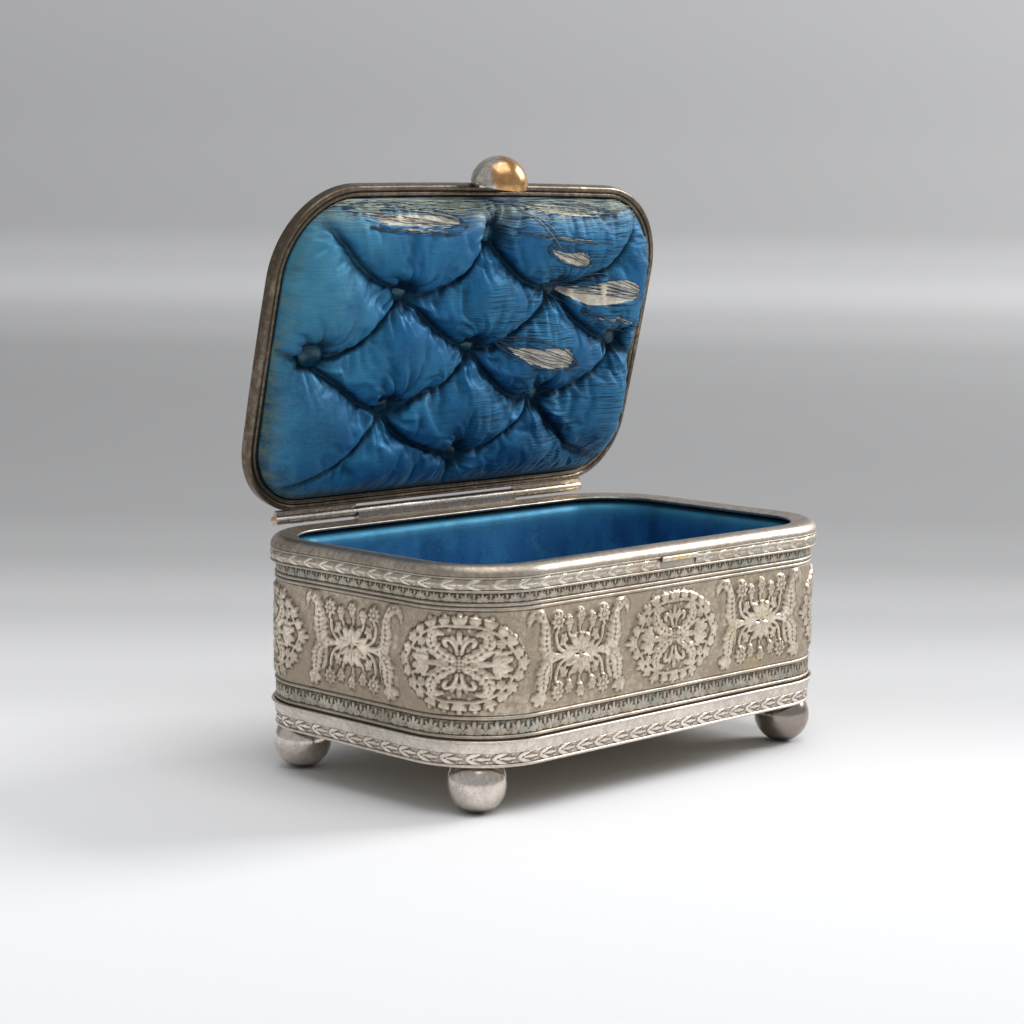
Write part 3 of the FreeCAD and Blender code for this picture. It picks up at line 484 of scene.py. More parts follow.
frieze_rows, frieze_low, frieze_high = 104, bead_low + 0.55, bead_high - 0.55
strip, swell = frieze_drawing(frieze_rows, frieze_low, frieze_high)
row_at = np.arange(frieze_rows)
edge_fade = np.clip(np.minimum(row_at, row_at[::-1]) / 3.0, 0, 1)[None, :]
ground = 0.03 * noise_field(strip.shape, (420, 26), 4) + 0.05 * noise_field(strip.shape, (60, 5), 5)
chased = np.clip(softened(strip, 1) + ground, 0, 1) * edge_fade
frieze = wrapped_bands("frieze", frieze_low, frieze_high, frieze_rows, flat_base(0.06), chased, 0.6,
                       parts=4, body=0.47 * swell)
print("frieze:", len(frieze), "panels,", sum(len(p.data.polygons) for p in frieze), "faces")

# %% [markdown]
# Four narrow bands were rolled with a wheel that carried one small pattern: palmettes above and
# below the frieze, and laurel leaves on the rim and on the gallery round the base. Each pattern is
# one drawing that the remainder of a division repeats along the tape.

# %% The rolled borders
def place_in_band(count, low, high, rows):
    """Distances from the middle of the nearest repeat, and heights from the foot of the band."""
    pitch = perimeter / count
    x = np.mod(column_at + pitch / 2, pitch) - pitch / 2
    z = np.linspace(low, high, rows) - low
    return np.broadcast_arrays(x[:, None], z[None, :]) + [pitch, high - low]


def palmettes(count, low, high, rows):
    """A fan of five petals on two small scrolls, with a bud between it and the next."""
    x, z, pitch, tall = place_in_band(count, low, high, rows)
    ax = np.abs(x)
    near = pitch / 2 - ax
    scroll = [(0.1 * tall, 0.1 * tall), (0.3 * pitch, 0), (0.42 * pitch, 0.3 * tall)]
    parts = [petal(ax, z, 0, 0.16 * tall, 0.8 * tall, 0.34 * tall, 90, 1.0, 0.2),
             stroke(ax, z, scroll, 0.1 * tall, 0.7),
             petal(near, z, 0, 0.3 * tall, 0.62 * tall, 0.3 * tall, 90, 0.85, 0.2),
             boss(near, z, 0, 0.16 * tall, 0.12 * tall, 0.7)]
    parts += [petal(ax, z, 0.06 * tall, 0.14 * tall, size * tall, 0.3 * tall, turn, 0.9, 0.2)
              for turn, size in ((58, 0.74), (28, 0.62))]
    return highest(*parts)


def laurel(count, low, high, rows):
    """Pairs of pointed leaves that lie along the band, with a pair of berries at each stem."""
    x, z, pitch, tall = place_in_band(count, low, high, rows)
    z = z - tall / 2
    parts = []
    for u in (x - pitch, x, x + pitch):
        for side in (1, -1):
            foot = (-0.42 * pitch, 0.03 * side * tall)
            parts += [petal(u, z, *foot, 0.82 * pitch, 0.42 * tall, 24 * side, 1.0, 0.4),
                      boss(u, z, 0.38 * pitch, side * 0.34 * tall, 0.1 * tall, 0.7)]
        parts.append(petal(u, z, -0.2 * pitch, 0, 0.7 * pitch, 0.3 * tall, 0, 0.75, 0.4))
    return highest(*parts)


def through(points, out=0.0):
    """The parabola through three (height, offset) points, which a hollow moulding follows, moved out."""
    (za, a), (zb, b), (zc, c) = points

    def line(v):
        v = np.asarray(v, float)
        return (a * (v - zb) * (v - zc) / ((za - zb) * (za - zc))
                + b * (v - za) * (v - zc) / ((zb - za) * (zb - zc))
                + c * (v - za) * (v - zb) / ((zc - za) * (zc - zb))) + out
    return line


def worn(height, seed):
    """The same band with slow random waves in its depth, for uneven pressure and polishing."""
    return np.clip(height * (0.8 + 0.2 * noise_field(height.shape, (90, 2), seed)), 0, 1)


def rolled(name, pattern, count, low, high, rows, seed, base, relief, **more):
    """A band that carries a pattern count times round the box, between two heights."""
    height = worn(pattern(count, low, high, rows), seed)
    return wrapped_bands(name, low, high, rows, base, height, relief, **more)


rim_line = through(((56.017, 1.25), (57.317, 1.6), (58.617, 1.25)), -0.12)
skirt_line = through(((13.317, -0.1), (15.917, 0.25), (18.517, 0.9)), 0.02)
borders = (rolled("border_low", palmettes, 76, 20.6, 24.15, 15, 6, flat_base(0.05), 0.32)
           + rolled("border_high", palmettes, 104, 52.9, 55.25, 11, 7, flat_base(0.05), 0.28)
           + rolled("rim_leaves", laurel, 70, 56.0, 58.63, 12, 8, rim_line, 0.42, gap=7.0, extra=0.3)
           + rolled("gallery_leaves", laurel, 64, 13.35, 16.05, 12, 9, skirt_line, 0.36, extra=0.3))
print("borders:", [len(piece.data.polygons) for piece in borders])

# %% [markdown]
# A lid's panel and a cushion both fill an outline. A square grid is bent to fit it: each square
# ring of the grid is laid along the outline, shrunk towards the middle. Unlike a fan of
# triangles, this has no pole where wrinkles would gather.

# %% Grids that fill an outline
def filled(runs, inset, across, deep, centre):
    """Points (across, deep, 2): ring r of the square grid lies on the outline, shrunk by r."""
    a = np.linspace(-1, 1, across)[:, None] * np.ones((1, deep))
    b = np.ones((across, 1)) * np.linspace(-1, 1, deep)[None, :]
    r = np.maximum(np.abs(a), np.abs(b)) + 1e-9
    ea, eb = a / r, b / r
    total = outline_length(runs)
    # shares of the tape that the half front, the side and the half back take, by the plan's sides
    wide, tall = 2 * half_length, 2 * half_width
    share = 1 / (2 * (wide + tall))
    tape = np.where((eb <= -1 + 1e-6) & (ea >= 0), ea * wide / 2 * share,
            np.where(ea >= 1 - 1e-6, (wide / 2 + (eb + 1) * tall / 2) * share,
            np.where(eb >= 1 - 1e-6, (wide / 2 + tall + (1 - ea) * wide / 2) * share,
            np.where(ea <= -1 + 1e-6, (1.5 * wide + tall + (1 - eb) * tall / 2) * share,
                     1 + ea * wide / 2 * share))))
    x, y, nx, ny = along(runs, tape.ravel() * total)
    x = (x - inset * nx).reshape(a.shape)
    y = (y - inset * ny).reshape(a.shape)
    return np.stack([centre[0] + r * (x - centre[0]), centre[1] + r * (y - centre[1])], -1)


def edge_ring(across, deep):
    """Indices of the grid's outer ring, in order round it."""
    index = np.arange(across * deep).reshape(across, deep)
    return np.concatenate([index[:-1, 0], index[-1, :-1], index[:0:-1, -1], index[0, :0:-1]])


def beside(points, path):
    """Distance to a chain of straight pieces, and 1 or -1 for the side of it that a point lies on."""
    best, side = np.full(points.shape[:-1], 1e9), np.ones(points.shape[:-1])
    for a, b in zip(path[:-1], path[1:]):
        d, off = b - a, points - a
        part = np.clip((off @ d) / (d @ d + 1e-12), 0, 1)
        gap = np.linalg.norm(off - part[..., None] * d, axis=-1)
        side = np.where(gap < best, np.sign(d[0] * off[..., 1] - d[1] * off[..., 0]), side)
        best = np.minimum(best, gap)
    return best, side


def solid_sheet(name, flat, top_z, back_z, turn=None, uv=None, marks=None, flip=False):
    """A sheet of points over an outline, with an upright edge and one flat face behind it."""
    across, deep = flat.shape[:2]
    front = np.concatenate([flat, top_z[..., None]], -1).reshape(-1, 3)
    ring = edge_ring(across, deep)
    behind = front[ring].copy()
    behind[:, 2] = back_z
    points = np.concatenate([front, behind])
    index = np.arange(across * deep).reshape(across, deep)
    quads = np.stack([index[:-1, :-1], index[1:, :-1], index[1:, 1:], index[:-1, 1:]], -1).reshape(-1, 4)
    k = np.arange(len(ring))
    k2 = (k + 1) % len(ring)
    sides = np.stack([ring[k2], ring[k], len(front) + k, len(front) + k2], -1)
    cap = (len(front) + k)[::-1]
    if flip:
        quads, sides, cap = quads[:, ::-1], sides[:, ::-1], cap[::-1]
    loops = np.concatenate([quads.ravel(), sides.ravel(), cap])
    corners = np.array([4] * (len(quads) + len(sides)) + [len(cap)])
    flat_uv = None if uv is None else np.concatenate([uv.reshape(-1, 2), uv.reshape(-1, 2)[ring]])
    marks = {label: np.concatenate([v.ravel(), v.ravel()[ring]]) for label, v in (marks or {}).items()}
    return mesh_piece(name, points if turn is None else turn(points), loops, corners, flat_uv, marks)


# %% [markdown]
# The outside of the lid carries the same dies as the wall: a large medallion on its oval boss, a
# spray turned to each end, and laurel round the swelling border. The drawing is added to the
# height of the panel, so the chasing follows the boss as it would on the sheet.

# %% Ornament on the lid's outside
def lid_panel():
    """The swelling panel: the frame's own boss, a little proud of it, with the two dies on top."""
    across, deep = 300, 156
    flat = filled(lid_edge, 16.2, across, deep, (0.0, tuft_y))
    x, y = flat[..., 0], flat[..., 1] - tuft_y
    swell = np.clip((1 - np.hypot(x / 33.0, y / 17.0)) / 0.62, 0, 1) ** 0.6 * 1.4
    drawing = highest(0.9 * medallion(x / 1.62, y / 1.22), spray(y / 0.98, (np.abs(x) - 43.5) * -0.98))
    drawing = softened(np.clip(drawing, 0, 1), 1)
    drawing = np.clip(drawing + 0.03 * noise_field(drawing.shape, (60, 34), 11), 0, 1)
    a, b = np.abs(np.linspace(-1, 1, across)), np.abs(np.linspace(-1, 1, deep))
    rings = np.maximum(a[:, None], b[None, :])
    top = lid_flat + 1.05 + swell + 0.85 * drawing * np.clip((1 - rings) * 22, 0, 1)
    return solid_sheet("lid_chasing", flat, top, 69.9, opened,
                       marks={"hollow": hollows(drawing), "rise": drawing})


def lid_border():
    """Laurel carried round the lid on the arc between its cove and its shoulder."""
    count, columns, rows, wide = 64, 1400, 18, 4.6
    total = outline_length(lid_edge)
    at, pitch = np.arange(columns) * total / columns, total / count
    x = (np.mod(at + pitch / 2, pitch) - pitch / 2)[:, None] + np.zeros((1, rows))
    v = np.linspace(0, 1, rows)[None, :] + np.zeros((columns, 1))
    z = (v - 0.5) * wide
    parts = []
    for u in (x - pitch, x, x + pitch):
        for side in (1, -1):
            parts += [petal(u, z, -0.4 * pitch, 0.1 * side, 0.85 * pitch, 1.9, 28 * side, 1.0, 0.4),
                      boss(u, z, 0.42 * pitch, side * 1.6, 0.5, 0.7)]
    height = worn(highest(*parts), 12)
    out = -5.4 - 5.2 * v
    px, py, nx, ny = along(lid_edge, at)
    tall = through(((0.0, 66.8), (0.5, 68.05), (1.0, 69.1)), 0.12)(v) + 0.4 * height
    front = np.stack([px[:, None] + nx[:, None] * out, py[:, None] + ny[:, None] * out, tall], -1)
    back = front[:, ::-1][:, [0, -1]].copy()
    back[..., 2] -= 0.7
    behind = np.zeros((columns, 2))
    marks = {"hollow": np.concatenate([hollows(height), behind], 1), "rise": np.concatenate([height, behind], 1)}
    points = opened(np.concatenate([front, back], 1))
    return grid_piece("lid_laurel", points, wrap_rows=True, wrap_columns=True, marks=marks)


lid_chasing = lid_panel()
lid_laurel = lid_border()
print("lid ornament:", len(lid_chasing.data.polygons), len(lid_laurel.data.polygons), "faces")

# %% [markdown]
# The cushion is satin over wadding, drawn down by nine covered buttons set in a diamond pattern.
# The cloth between two buttons folds into a pleat, and the stuffing swells between the pleats.
# So its height depends on three distances: to the nearest button, to the nearest pleat and to
# the lid's frame. Small folds fan out from each button, because more cloth arrives there than
# fits.

# %% Where the buttons and the pleats lie
tuft_cells = [(0, -2), (0, 0), (0, 2), (-1, -1), (-1, 1), (1, -1), (1, 1), (-2, 0), (2, 0)]


def tuft_place(column, row):
    return np.array([column * tuft_pitch_x, tuft_y + row * tuft_pitch_y])


def pleat_paths():
    """Each pleat runs from left to right and bows towards the hinge, as the upper pillow hangs over it."""
    ends = []
    for column, row in tuft_cells:
        for side in (-1, 1):
            if (column + 1, row + side) in tuft_cells:
                ends.append((tuft_place(column, row), tuft_place(column + 1, row + side)))
    for sx in (-1, 1):
        for sy in (-1, 1):
            ends.append((tuft_place(sx, sy), tuft_place(2.05 * sx, 2.3 * sy)))
        ends.append((tuft_place(2 * sx, 0), tuft_place(2.6 * sx, 0.35 * sx)))
        ends.append((tuft_place(0, 2 * sx), tuft_place(0.06, 2.95 * sx)))
    paths = []
    for k, (a, b) in enumerate(ends):
        a, b = (b, a) if a[0] > b[0] else (a, b)
        length = np.linalg.norm(b - a)
        across = np.array([-(b - a)[1], (b - a)[0]]) / length
        first = 0.13 * length + 0.06 * length * math.sin(1.9 * k + 0.6)
        last = 0.13 * length + 0.06 * length * math.sin(2.7 * k + 2.2)
        paths.append(bend([a, a * 0.7 + b * 0.3 + across * first,
                           a * 0.3 + b * 0.7 + across * last, b], 14))
    return paths


pleats = pleat_paths()
print(len(tuft_cells), "buttons and", len(pleats), "pleats")

# %% The cushion's surface
tears = [((-50, 84.0), (-15, 81.0), 2.9), ((3, 86.6), (43, 83.4), 2.6), ((20, 74.5), (36, 70), 2.6),
         ((27, 62.5), (59, 60), 4.6), ((10, 47), (37, 40.5), 4.0), ((-44, 80.5), (-18, 79), 0.7),
         ((40, 55.5), (60, 52), 1.0), ((10, 78.5), (36, 76), 0.7), ((46, 51.5), (59, 48.5), 0.6)]


def torn(x, y, ragged):
    """1 inside a tear and 0 outside. Each is pointed at its left and blunter at its right: its half
    width is a power of the share t of its length, times a lower power of 1 - t."""
    out = np.zeros_like(x)
    for (xa, ua), (xb, ub), half in tears:
        a, b = np.array([xa, hinge_y - ua]), np.array([xb, hinge_y - ub])
        d = b - a
        length = np.linalg.norm(d)
        t = ((x - a[0]) * d[0] + (y - a[1]) * d[1]) / length ** 2
        off = ((x - a[0]) * d[1] - (y - a[1]) * d[0]) / length
        inside = np.clip(t, 0, 1)
        lens = half * 1.9 * inside ** 1.1 * (1 - inside) ** 0.45
        off = np.abs(off + 0.25 * half * np.sin(5 * inside))
        hole = np.clip((lens - off - 0.28 * ragged * (half > 1.5) - 0.05) / 0.3, 0, 1)
        out = np.maximum(out, hole * (t > 0) * (t < 1))
    return out


def cushion_height(flat):
    """Thickness of the cushion in millimetres: crown times pillows, with folds round the buttons.

    A pillow's height follows a superellipse of the distance to its pleats. It rises slowly from the
    pleat above it and falls steeply to the pleat below. Slow noise bends the plan first, so no two
    pillows are the same."""
    x, y = flat[..., 0], flat[..., 1]
    ex, ey, enx, eny = along(lid_edge, np.linspace(0, outline_length(lid_edge), 240))
    edge, _ = beside(flat, np.stack([ex - 3.3 * enx, ey - 3.3 * eny], -1))
    crown = np.sin(np.clip(edge / 14.5, 0, 1) * math.pi / 2) ** 0.8
    calm = np.clip(edge / 12, 0, 1)
    drift = slack(x.shape, (13, 9), 51), slack(x.shape, (15, 8), 52)
    bent = flat + np.stack([1.5 * calm * drift[0], 1.5 * calm * drift[1]], -1)
    tuft = np.full(x.shape, 1e9)
    fan = np.zeros_like(x)
    for k, cell in enumerate(tuft_cells):
        px, py = tuft_place(*cell)
        r = np.hypot(x - px, y - py)
        angle = np.arctan2(y - py, x - px) + 0.05 * r
        folds = (np.cos(7 * angle + 1.7 * k) + 0.8 * np.cos(11 * angle - 2.1 * k + 0.1 * r) +
                 0.6 * np.cos(18 * angle + k) + 0.35 * np.cos(29 * angle + 2 * k))
        fan += 0.36 * folds * np.exp(-((r - 6.0) / 4.6) ** 2)
        tuft = np.minimum(tuft, r)
    pleat = np.full(x.shape, 1e9)
    pillow = np.ones_like(x)
    for path in pleats:
        gap, side = beside(bent, path)
        slow_rise = (1 - np.clip(1 - gap / 17.0, 0, 1) ** 1.9) ** (1 / 1.7)
        fast_fall = (1 - np.clip(1 - gap / 9.5, 0, 1) ** 2.4) ** (1 / 2.4)
        pillow = np.minimum(pillow, np.where(side > 0, slow_rise, fast_fall))
        pleat = np.minimum(pleat, gap)
    pillow = softened(pillow, 3)
    floor = 0.08 + 0.20 * (1 - np.exp(-(tuft / 10.0) ** 2))
    well = 1 - 0.6 * np.exp(-(tuft / 4.6) ** 3)
    slow = 0.5 * slack(x.shape, (9, 6), 21) + 0.2 * slack(x.shape, (24, 15), 22)
    creases = 0.22 * slack(x.shape, (70, 24), 24) + 0.16 * slack(x.shape, (36, 60), 25)
    drawn = np.exp(-(pleat / 5.0) ** 2) * creases
    body = 8.7 * crown * (floor + (1 - floor) * pillow) * well
    thick = body + crown * (pillow * slow + fan * np.clip(pleat / 2.5, 0.25, 1) + drawn) - 0.3
    return 1.45 + np.clip(thick, 0, None), pleat, tuft, edge


across, deep = 379, 235
cushion_flat = filled(lid_edge, 3.35, across, deep, (0.0, tuft_y))
cushion_uv = cushion_flat.copy()
cushion_thick, pleat_near, tuft_near, edge_near = cushion_height(cushion_flat)
print("cushion drawn, thickest", round(float(cushion_thick.max()), 2), "mm")

# %% [markdown]
# Drawn pillows look too regular. So a coarse copy of the satin, cut a little too big, is handed to
# the cloth simulation: the stuffing presses it outward, and the buttons, the pleats and the frame
# hold it. It bulges and wrinkles where cloth would. Its movement is then spread over the fine grid
# with smooth weights and added to the drawn shape.

# %% The satin settles
def spread(fine, coarse):
    """Weights that carry a coarse row of numbers to a fine one: cubic B-splines, each row summing to 1."""
    away = np.abs(np.linspace(0, coarse - 1, fine)[:, None] - np.arange(coarse)[None, :])
    weight = np.where(away < 1, 2 / 3 - away ** 2 + away ** 3 / 2, np.clip(2 - away, 0, None) ** 3 / 6)
    return weight / weight.sum(1, keepdims=True)


def settle(flat, down, held, frames=22, size=0.01, most=3.0):
    """How far each point moves, in millimetres: cloth under pressure, on every third point."""
    start = np.concatenate([flat, down[..., None]], -1)[::3, ::3]
    rows, columns = start.shape[:2]
    index = np.arange(rows * columns).reshape(rows, columns)
    faces = np.stack([index[:-1, :-1], index[:-1, 1:], index[1:, 1:], index[1:, :-1]], -1).reshape(-1, 4)
    mesh = bpy.data.meshes.new("settling")
    mesh.from_pydata((start.reshape(-1, 3) * size).tolist(), [], faces.tolist())
    thing = bpy.data.objects.new("settling", mesh)
    bpy.context.scene.collection.objects.link(thing)
    group = thing.vertex_groups.new(name="held")
    weights = held[::3, ::3].ravel()
    for level in np.unique(np.round(weights, 1)):
        group.add(np.flatnonzero(np.round(weights, 1) == level).tolist(), float(level), "REPLACE")
    cloth = thing.modifiers.new("cloth", "CLOTH")
    rule = cloth.settings
    rule.quality, rule.mass, rule.air_damping = 6, 0.15, 2.0
    rule.tension_stiffness = rule.compression_stiffness = 14
    rule.shear_stiffness, rule.bending_stiffness = 6, 0.08
    rule.use_pressure, rule.uniform_pressure_force = True, 2.5
    rule.shrink_min = -0.10
    rule.vertex_group_mass, rule.pin_stiffness = "held", 3.0
    rule.effector_weights.gravity = 0
    cloth.point_cache.frame_start, cloth.point_cache.frame_end = 1, frames
    for number in range(1, frames + 1):
        bpy.context.scene.frame_set(number)
    settled = thing.evaluated_get(bpy.context.evaluated_depsgraph_get()).data
    places = np.empty(len(settled.vertices) * 3, np.float32)
    settled.vertices.foreach_get("co", places)
    bpy.data.objects.remove(thing)
    bpy.data.meshes.remove(mesh)
    bpy.context.scene.frame_set(1)
    move = places.reshape(start.shape) / size - start
    far = np.linalg.norm(move, axis=-1, keepdims=True)
    print("settled: mean move", round(float(far.mean()), 2), "most", round(float(far.max()), 2), "mm")
    move = move * np.minimum(1, most / (far + 1e-9))
    return np.einsum("ia,abk,jb->ijk", spread(flat.shape[0], rows), move, spread(flat.shape[1], columns))


held = highest(np.clip(1.6 - edge_near, 0, 1), np.clip(3.4 - tuft_near, 0, 1),
               0.8 * np.clip(1.6 - pleat_near, 0, 1))
move = settle(cushion_flat, board_under - cushion_thick, held)
fade = np.clip(edge_near / 2.5, 0, 1)[..., None]
cushion_flat = cushion_flat + move[..., :2] * fade
cushion_thick = np.clip(cushion_thick - move[..., 2] * fade[..., 0], 1.2, None)
thickest, knee = 11.6, 1.15                 # the stuffing eases up to this thickness and no further
cushion_thick = thickest * np.tanh((cushion_thick / thickest) ** knee) ** (1 / knee)

# %% [markdown]
# The satin has split along its weft in several places, where the wadding under it shows. A tear
# sinks a little, and its edges are ragged. The mesh carries the tears, the hollows and the worn
# edge as numbers for the finish to read.

# %% The cushion's mesh
ragged = slack((across, deep), (34, 60), 31) + 0.6 * slack((across, deep), (60, 150), 32)
tear = torn(cushion_uv[..., 0], cushion_uv[..., 1], ragged)
cushion_thick = cushion_thick - 0.5 * softened(tear, 1) * (cushion_thick > 3)
cushion_down = board_under - cushion_thick
# painted shade: how far the cloth lies below its surroundings, at two scales, which the finish reads as 'deep'
# to darken the hollows
wide_shade = np.clip(hollows(cushion_thick, 150) * 0.16 + hollows(cushion_thick, 30) * 0.5, -0.8, 1.4)
cushion_marks = {"tear": tear, "deep": wide_shade, "edge": edge_near,
                 "fray": np.exp(-((cushion_uv[..., 1] + 40.5) / 4.0) ** 2),
                 "well": np.exp(-(tuft_near / 5.5) ** 2)}
cushion = solid_sheet("cushion", cushion_flat, cushion_down, board_under, opened, flip=True,
                      uv=cushion_uv, marks=cushion_marks)
print("cushion:", len(cushion.data.polygons), "faces, thickest", round(float(cushion_thick.max()), 2), "mm")

# %% [markdown]
# Each button is a small dome covered with the same satin. Its cloth is gathered underneath, which
# shows as fine pleats round the edge.

# %% Covered buttons
def dome_set(name, places, radius, high, base_z, segments=28, rings=9):
    """Domes side by side in one mesh: height follows a quarter ellipse, its rim puckered by a cosine."""
    angle = (np.arange(segments) * 2 * math.pi / segments)[:, None]
    t = np.linspace(0, 1, rings)[None, :]
    index = np.arange(segments * rings).reshape(segments, rings)
    following = np.roll(index, -1, axis=0)
    quads = np.stack([index[:, :-1], following[:, :-1], following[:, 1:], index[:, 1:]], -1)
    points, loops = [], []
    for k, (px, py) in enumerate(places):
        r = np.maximum(radius[k] * np.sin(t * math.pi / 2) * (1 + 0.02 * t * np.cos(14 * angle)), 0.05)
        z = base_z[k] - high[k] * np.cos(t * math.pi / 2) + 0 * r
        points.append(np.stack([px + r * np.cos(angle), py + r * np.sin(angle), z], -1).reshape(-1, 3))
        loops.append(k * index.size + np.concatenate([quads.ravel(), index[:, -1], index[::-1, 0]]))
    corners = np.array(([4] * (quads.size // 4) + [segments, segments]) * len(places))
    return mesh_piece(name, opened(np.concatenate(points)), np.concatenate(loops), corners)


button_places = [tuft_place(*cell) for cell in tuft_cells]
left = [cell == (-2, 0) for cell in tuft_cells]
buttons = dome_set("buttons", button_places, np.where(left, 4.2, 2.9), np.where(left, 2.6, 1.3),
                   np.where(left, 61.3, 62.2))
print("buttons:", len(buttons.data.polygons), "faces")

# %% [markdown]
# Where the satin has split, its cross threads still span the gap, and loose ends hang from the
# frayed edge. Each thread is a thin tube along its own curve. All of them share one mesh, and the
# random numbers come from a seeded generator, so every run gives the same threads.

# %% Loose threads
def tubes(name, paths, radius=0.085, sides=5):
    """paths holds the centre lines (count, points, 3): a ring of points is set round each place."""
    count, n, _ = paths.shape
    ahead = np.gradient(paths, axis=1)
    ahead /= np.linalg.norm(ahead, axis=-1, keepdims=True) + 1e-12
    side = np.cross(ahead, np.array([0.0, 0.0, 1.0]))
    side /= np.linalg.norm(side, axis=-1, keepdims=True) + 1e-12
    lift = np.cross(side, ahead)
    angle = (np.arange(sides) * 2 * math.pi / sides)[None, None, :, None]
    around = side[:, :, None, :] * np.cos(angle) + lift[:, :, None, :] * np.sin(angle)
    ring = paths[:, :, None, :] + radius * around
    index = np.arange(count * n * sides).reshape(count, n, sides)
    nxt = np.roll(index, -1, axis=2)
    quads = np.stack([index[:, :-1], index[:, 1:], nxt[:, 1:], nxt[:, :-1]], -1).reshape(-1, 4)
    caps = np.concatenate([index[:, 0, :], index[:, -1, ::-1]])
    corners = np.array([4] * len(quads) + [sides] * len(caps))
    loops = np.concatenate([quads.ravel(), caps.ravel()])
    return mesh_piece(name, opened(ring.reshape(-1, 3)), loops, corners)


def laid_on(lines, lift):
    """Gives lines in the lid's plan their heights: the cushion's own, softened along each thread."""
    lines = np.clip(np.array(lines), [-66, -41.3], [66, 38])
    reach = 47.5 + np.sqrt(np.clip(18.5 ** 2 - np.clip(-23.0 - lines[..., 1], 0, None) ** 2, 0, None))
    lines[..., 0] = np.clip(lines[..., 0], -reach, reach)
    flat, down = cushion_flat.reshape(-1, 2), cushion_down.ravel()
    near = np.array([np.argmin(((flat - place) ** 2).sum(1)) for place in lines.reshape(-1, 2)])
    z = down[near].reshape(lines.shape[:2]) - lift
    for _ in range(2):
        z[:, 1:-1] = np.minimum(z[:, 1:-1], (z[:, :-2] + z[:, 2:]) / 2)
    return np.concatenate([lines, z[..., None]], -1)


def crossing_threads():
    """Threads that still span the tears. Each bows away from the tear's middle line."""
    rng = np.random.default_rng(7)
    t = np.linspace(0, 1, 14)
    lines = []
    for (xa, ua), (xb, ub), half in tears:
        a, b = np.array([xa, hinge_y - ua]), np.array([xb, hinge_y - ub])
        across_dir = np.array([-(b - a)[1], (b - a)[0]]) / np.linalg.norm(b - a)
        for _ in range(int(3 + 3.2 * half)):
            off = rng.uniform(-1, 1) * half * 1.1
            bow = off * np.clip(4 * t * (1 - t), 0, None) ** 0.6
            bow = bow + 0.3 * np.sin(2 * math.pi * (t * rng.uniform(1, 2.2) + rng.uniform()))
            lines.append(a + (b - a) * (t[:, None] * 1.2 - 0.1) + across_dir * bow[:, None])
    return laid_on(lines, 0.10)


def frayed_threads():
    """Pale weft threads along the front edge, nearly straight, and a few that have come away."""
    rng = np.random.default_rng(11)
    t = np.linspace(0, 1, 14)
    lines = []
    for _ in range(110):
        x0 = rng.uniform(-56, 58)
        if abs(x0) < 9:
            continue
        length = rng.uniform(8, 30)
        u = 87.6 - abs(rng.normal(0, 2.3))
        wave = rng.uniform(0.1, 0.6) * np.sin(rng.uniform(2, 7) * t + rng.uniform(0, 6))
        lines.append(np.stack([x0 + length * (t - 0.5), hinge_y - u + wave], -1))
    lines.append(np.stack([6 + 17 * t, hinge_y - 86 + 11 * t ** 1.5], -1))
    lines.append(np.stack([9 + 12 * t, hinge_y - 84 + 5 * t ** 2], -1))
    return laid_on(lines, 0.14)


dark_threads = tubes("crossing_threads", crossing_threads())
pale_threads = tubes("frayed_threads", frayed_threads())
print("threads:", len(dark_threads.data.polygons) + len(pale_threads.data.polygons), "faces")

# %% [markdown]
# The lining is one strip of padded satin round the wall and a padded floor. Cloth that is glued
# round a curve ripples slightly, so slow waves run along the strip, and its top edge is a soft
# roll that catches the light.

# %% The lining
def lining_strip():
    """The strip's section is a flat back and a rounded front, carried round inside the wall."""
    columns = 420
    at = np.arange(columns) * perimeter / columns
    x, y, nx, ny = along(wall, at)
    t = np.linspace(0, 1, 30)
    low, high = 21.85, 60.15
    round_end = np.minimum(np.minimum(t, 1 - t) / 0.075, 1)
    out = 2.95 + 3.05 * np.sqrt(np.clip(1 - (1 - round_end) ** 2, 0, 1))
    z = low + (high - low) * t
    wave = 0.16 * noise_field((columns, 30), (60, 3), 41) + 0.1 * noise_field((columns, 30), (140, 2), 42)
    out = out[None, :] + wave * (round_end[None, :] > 0.3)
    front = np.stack([x[:, None] - nx[:, None] * out, y[:, None] - ny[:, None] * out,
                      np.broadcast_to(z, out.shape)], -1)
    uv = np.stack(np.broadcast_arrays(at[:, None], z[None, :]), -1)
    # the 'deep' mark gives painted shade where the ripples dip towards the wall
    return grid_piece("lining_wall", front[:, ::-1], wrap_rows=True, wrap_columns=True, uv=uv[:, ::-1],
                      marks={"deep": -2.0 * wave[:, ::-1]})


def lining_floor():
    """A pad that swells over its first nine millimetres and turns up at its edge, under the strip."""
    flat = filled(wall, 3.0, 150, 96, (0.0, 0.0))
    ex, ey, enx, eny = along(wall, np.linspace(0, perimeter, 160))
    edge, _ = beside(flat, np.stack([ex - 3.0 * enx, ey - 3.0 * eny], -1))
    rise = 2.8 + 1.0 * (1 - np.clip(1 - edge / 9.0, 0, 1) ** 2)
    rise = rise + 1.75 * np.exp(-(edge / 1.9) ** 2)
    rise = rise + 0.12 * slack(edge.shape, (12, 8), 43)
    return solid_sheet("lining_floor", flat, 17.6 + rise, 17.6, uv=flat, marks={"deep": 0 * edge})


lining_wall = lining_strip()
floor_pad = lining_floor()
print("lining:", len(lining_wall.data.polygons), len(floor_pad.data.polygons), "faces")

# %% [markdown]
# A finish is a small network of nodes. This helper keeps each network short to write: a call adds
# one node, joins what it is given, and returns the node's output for the next call.

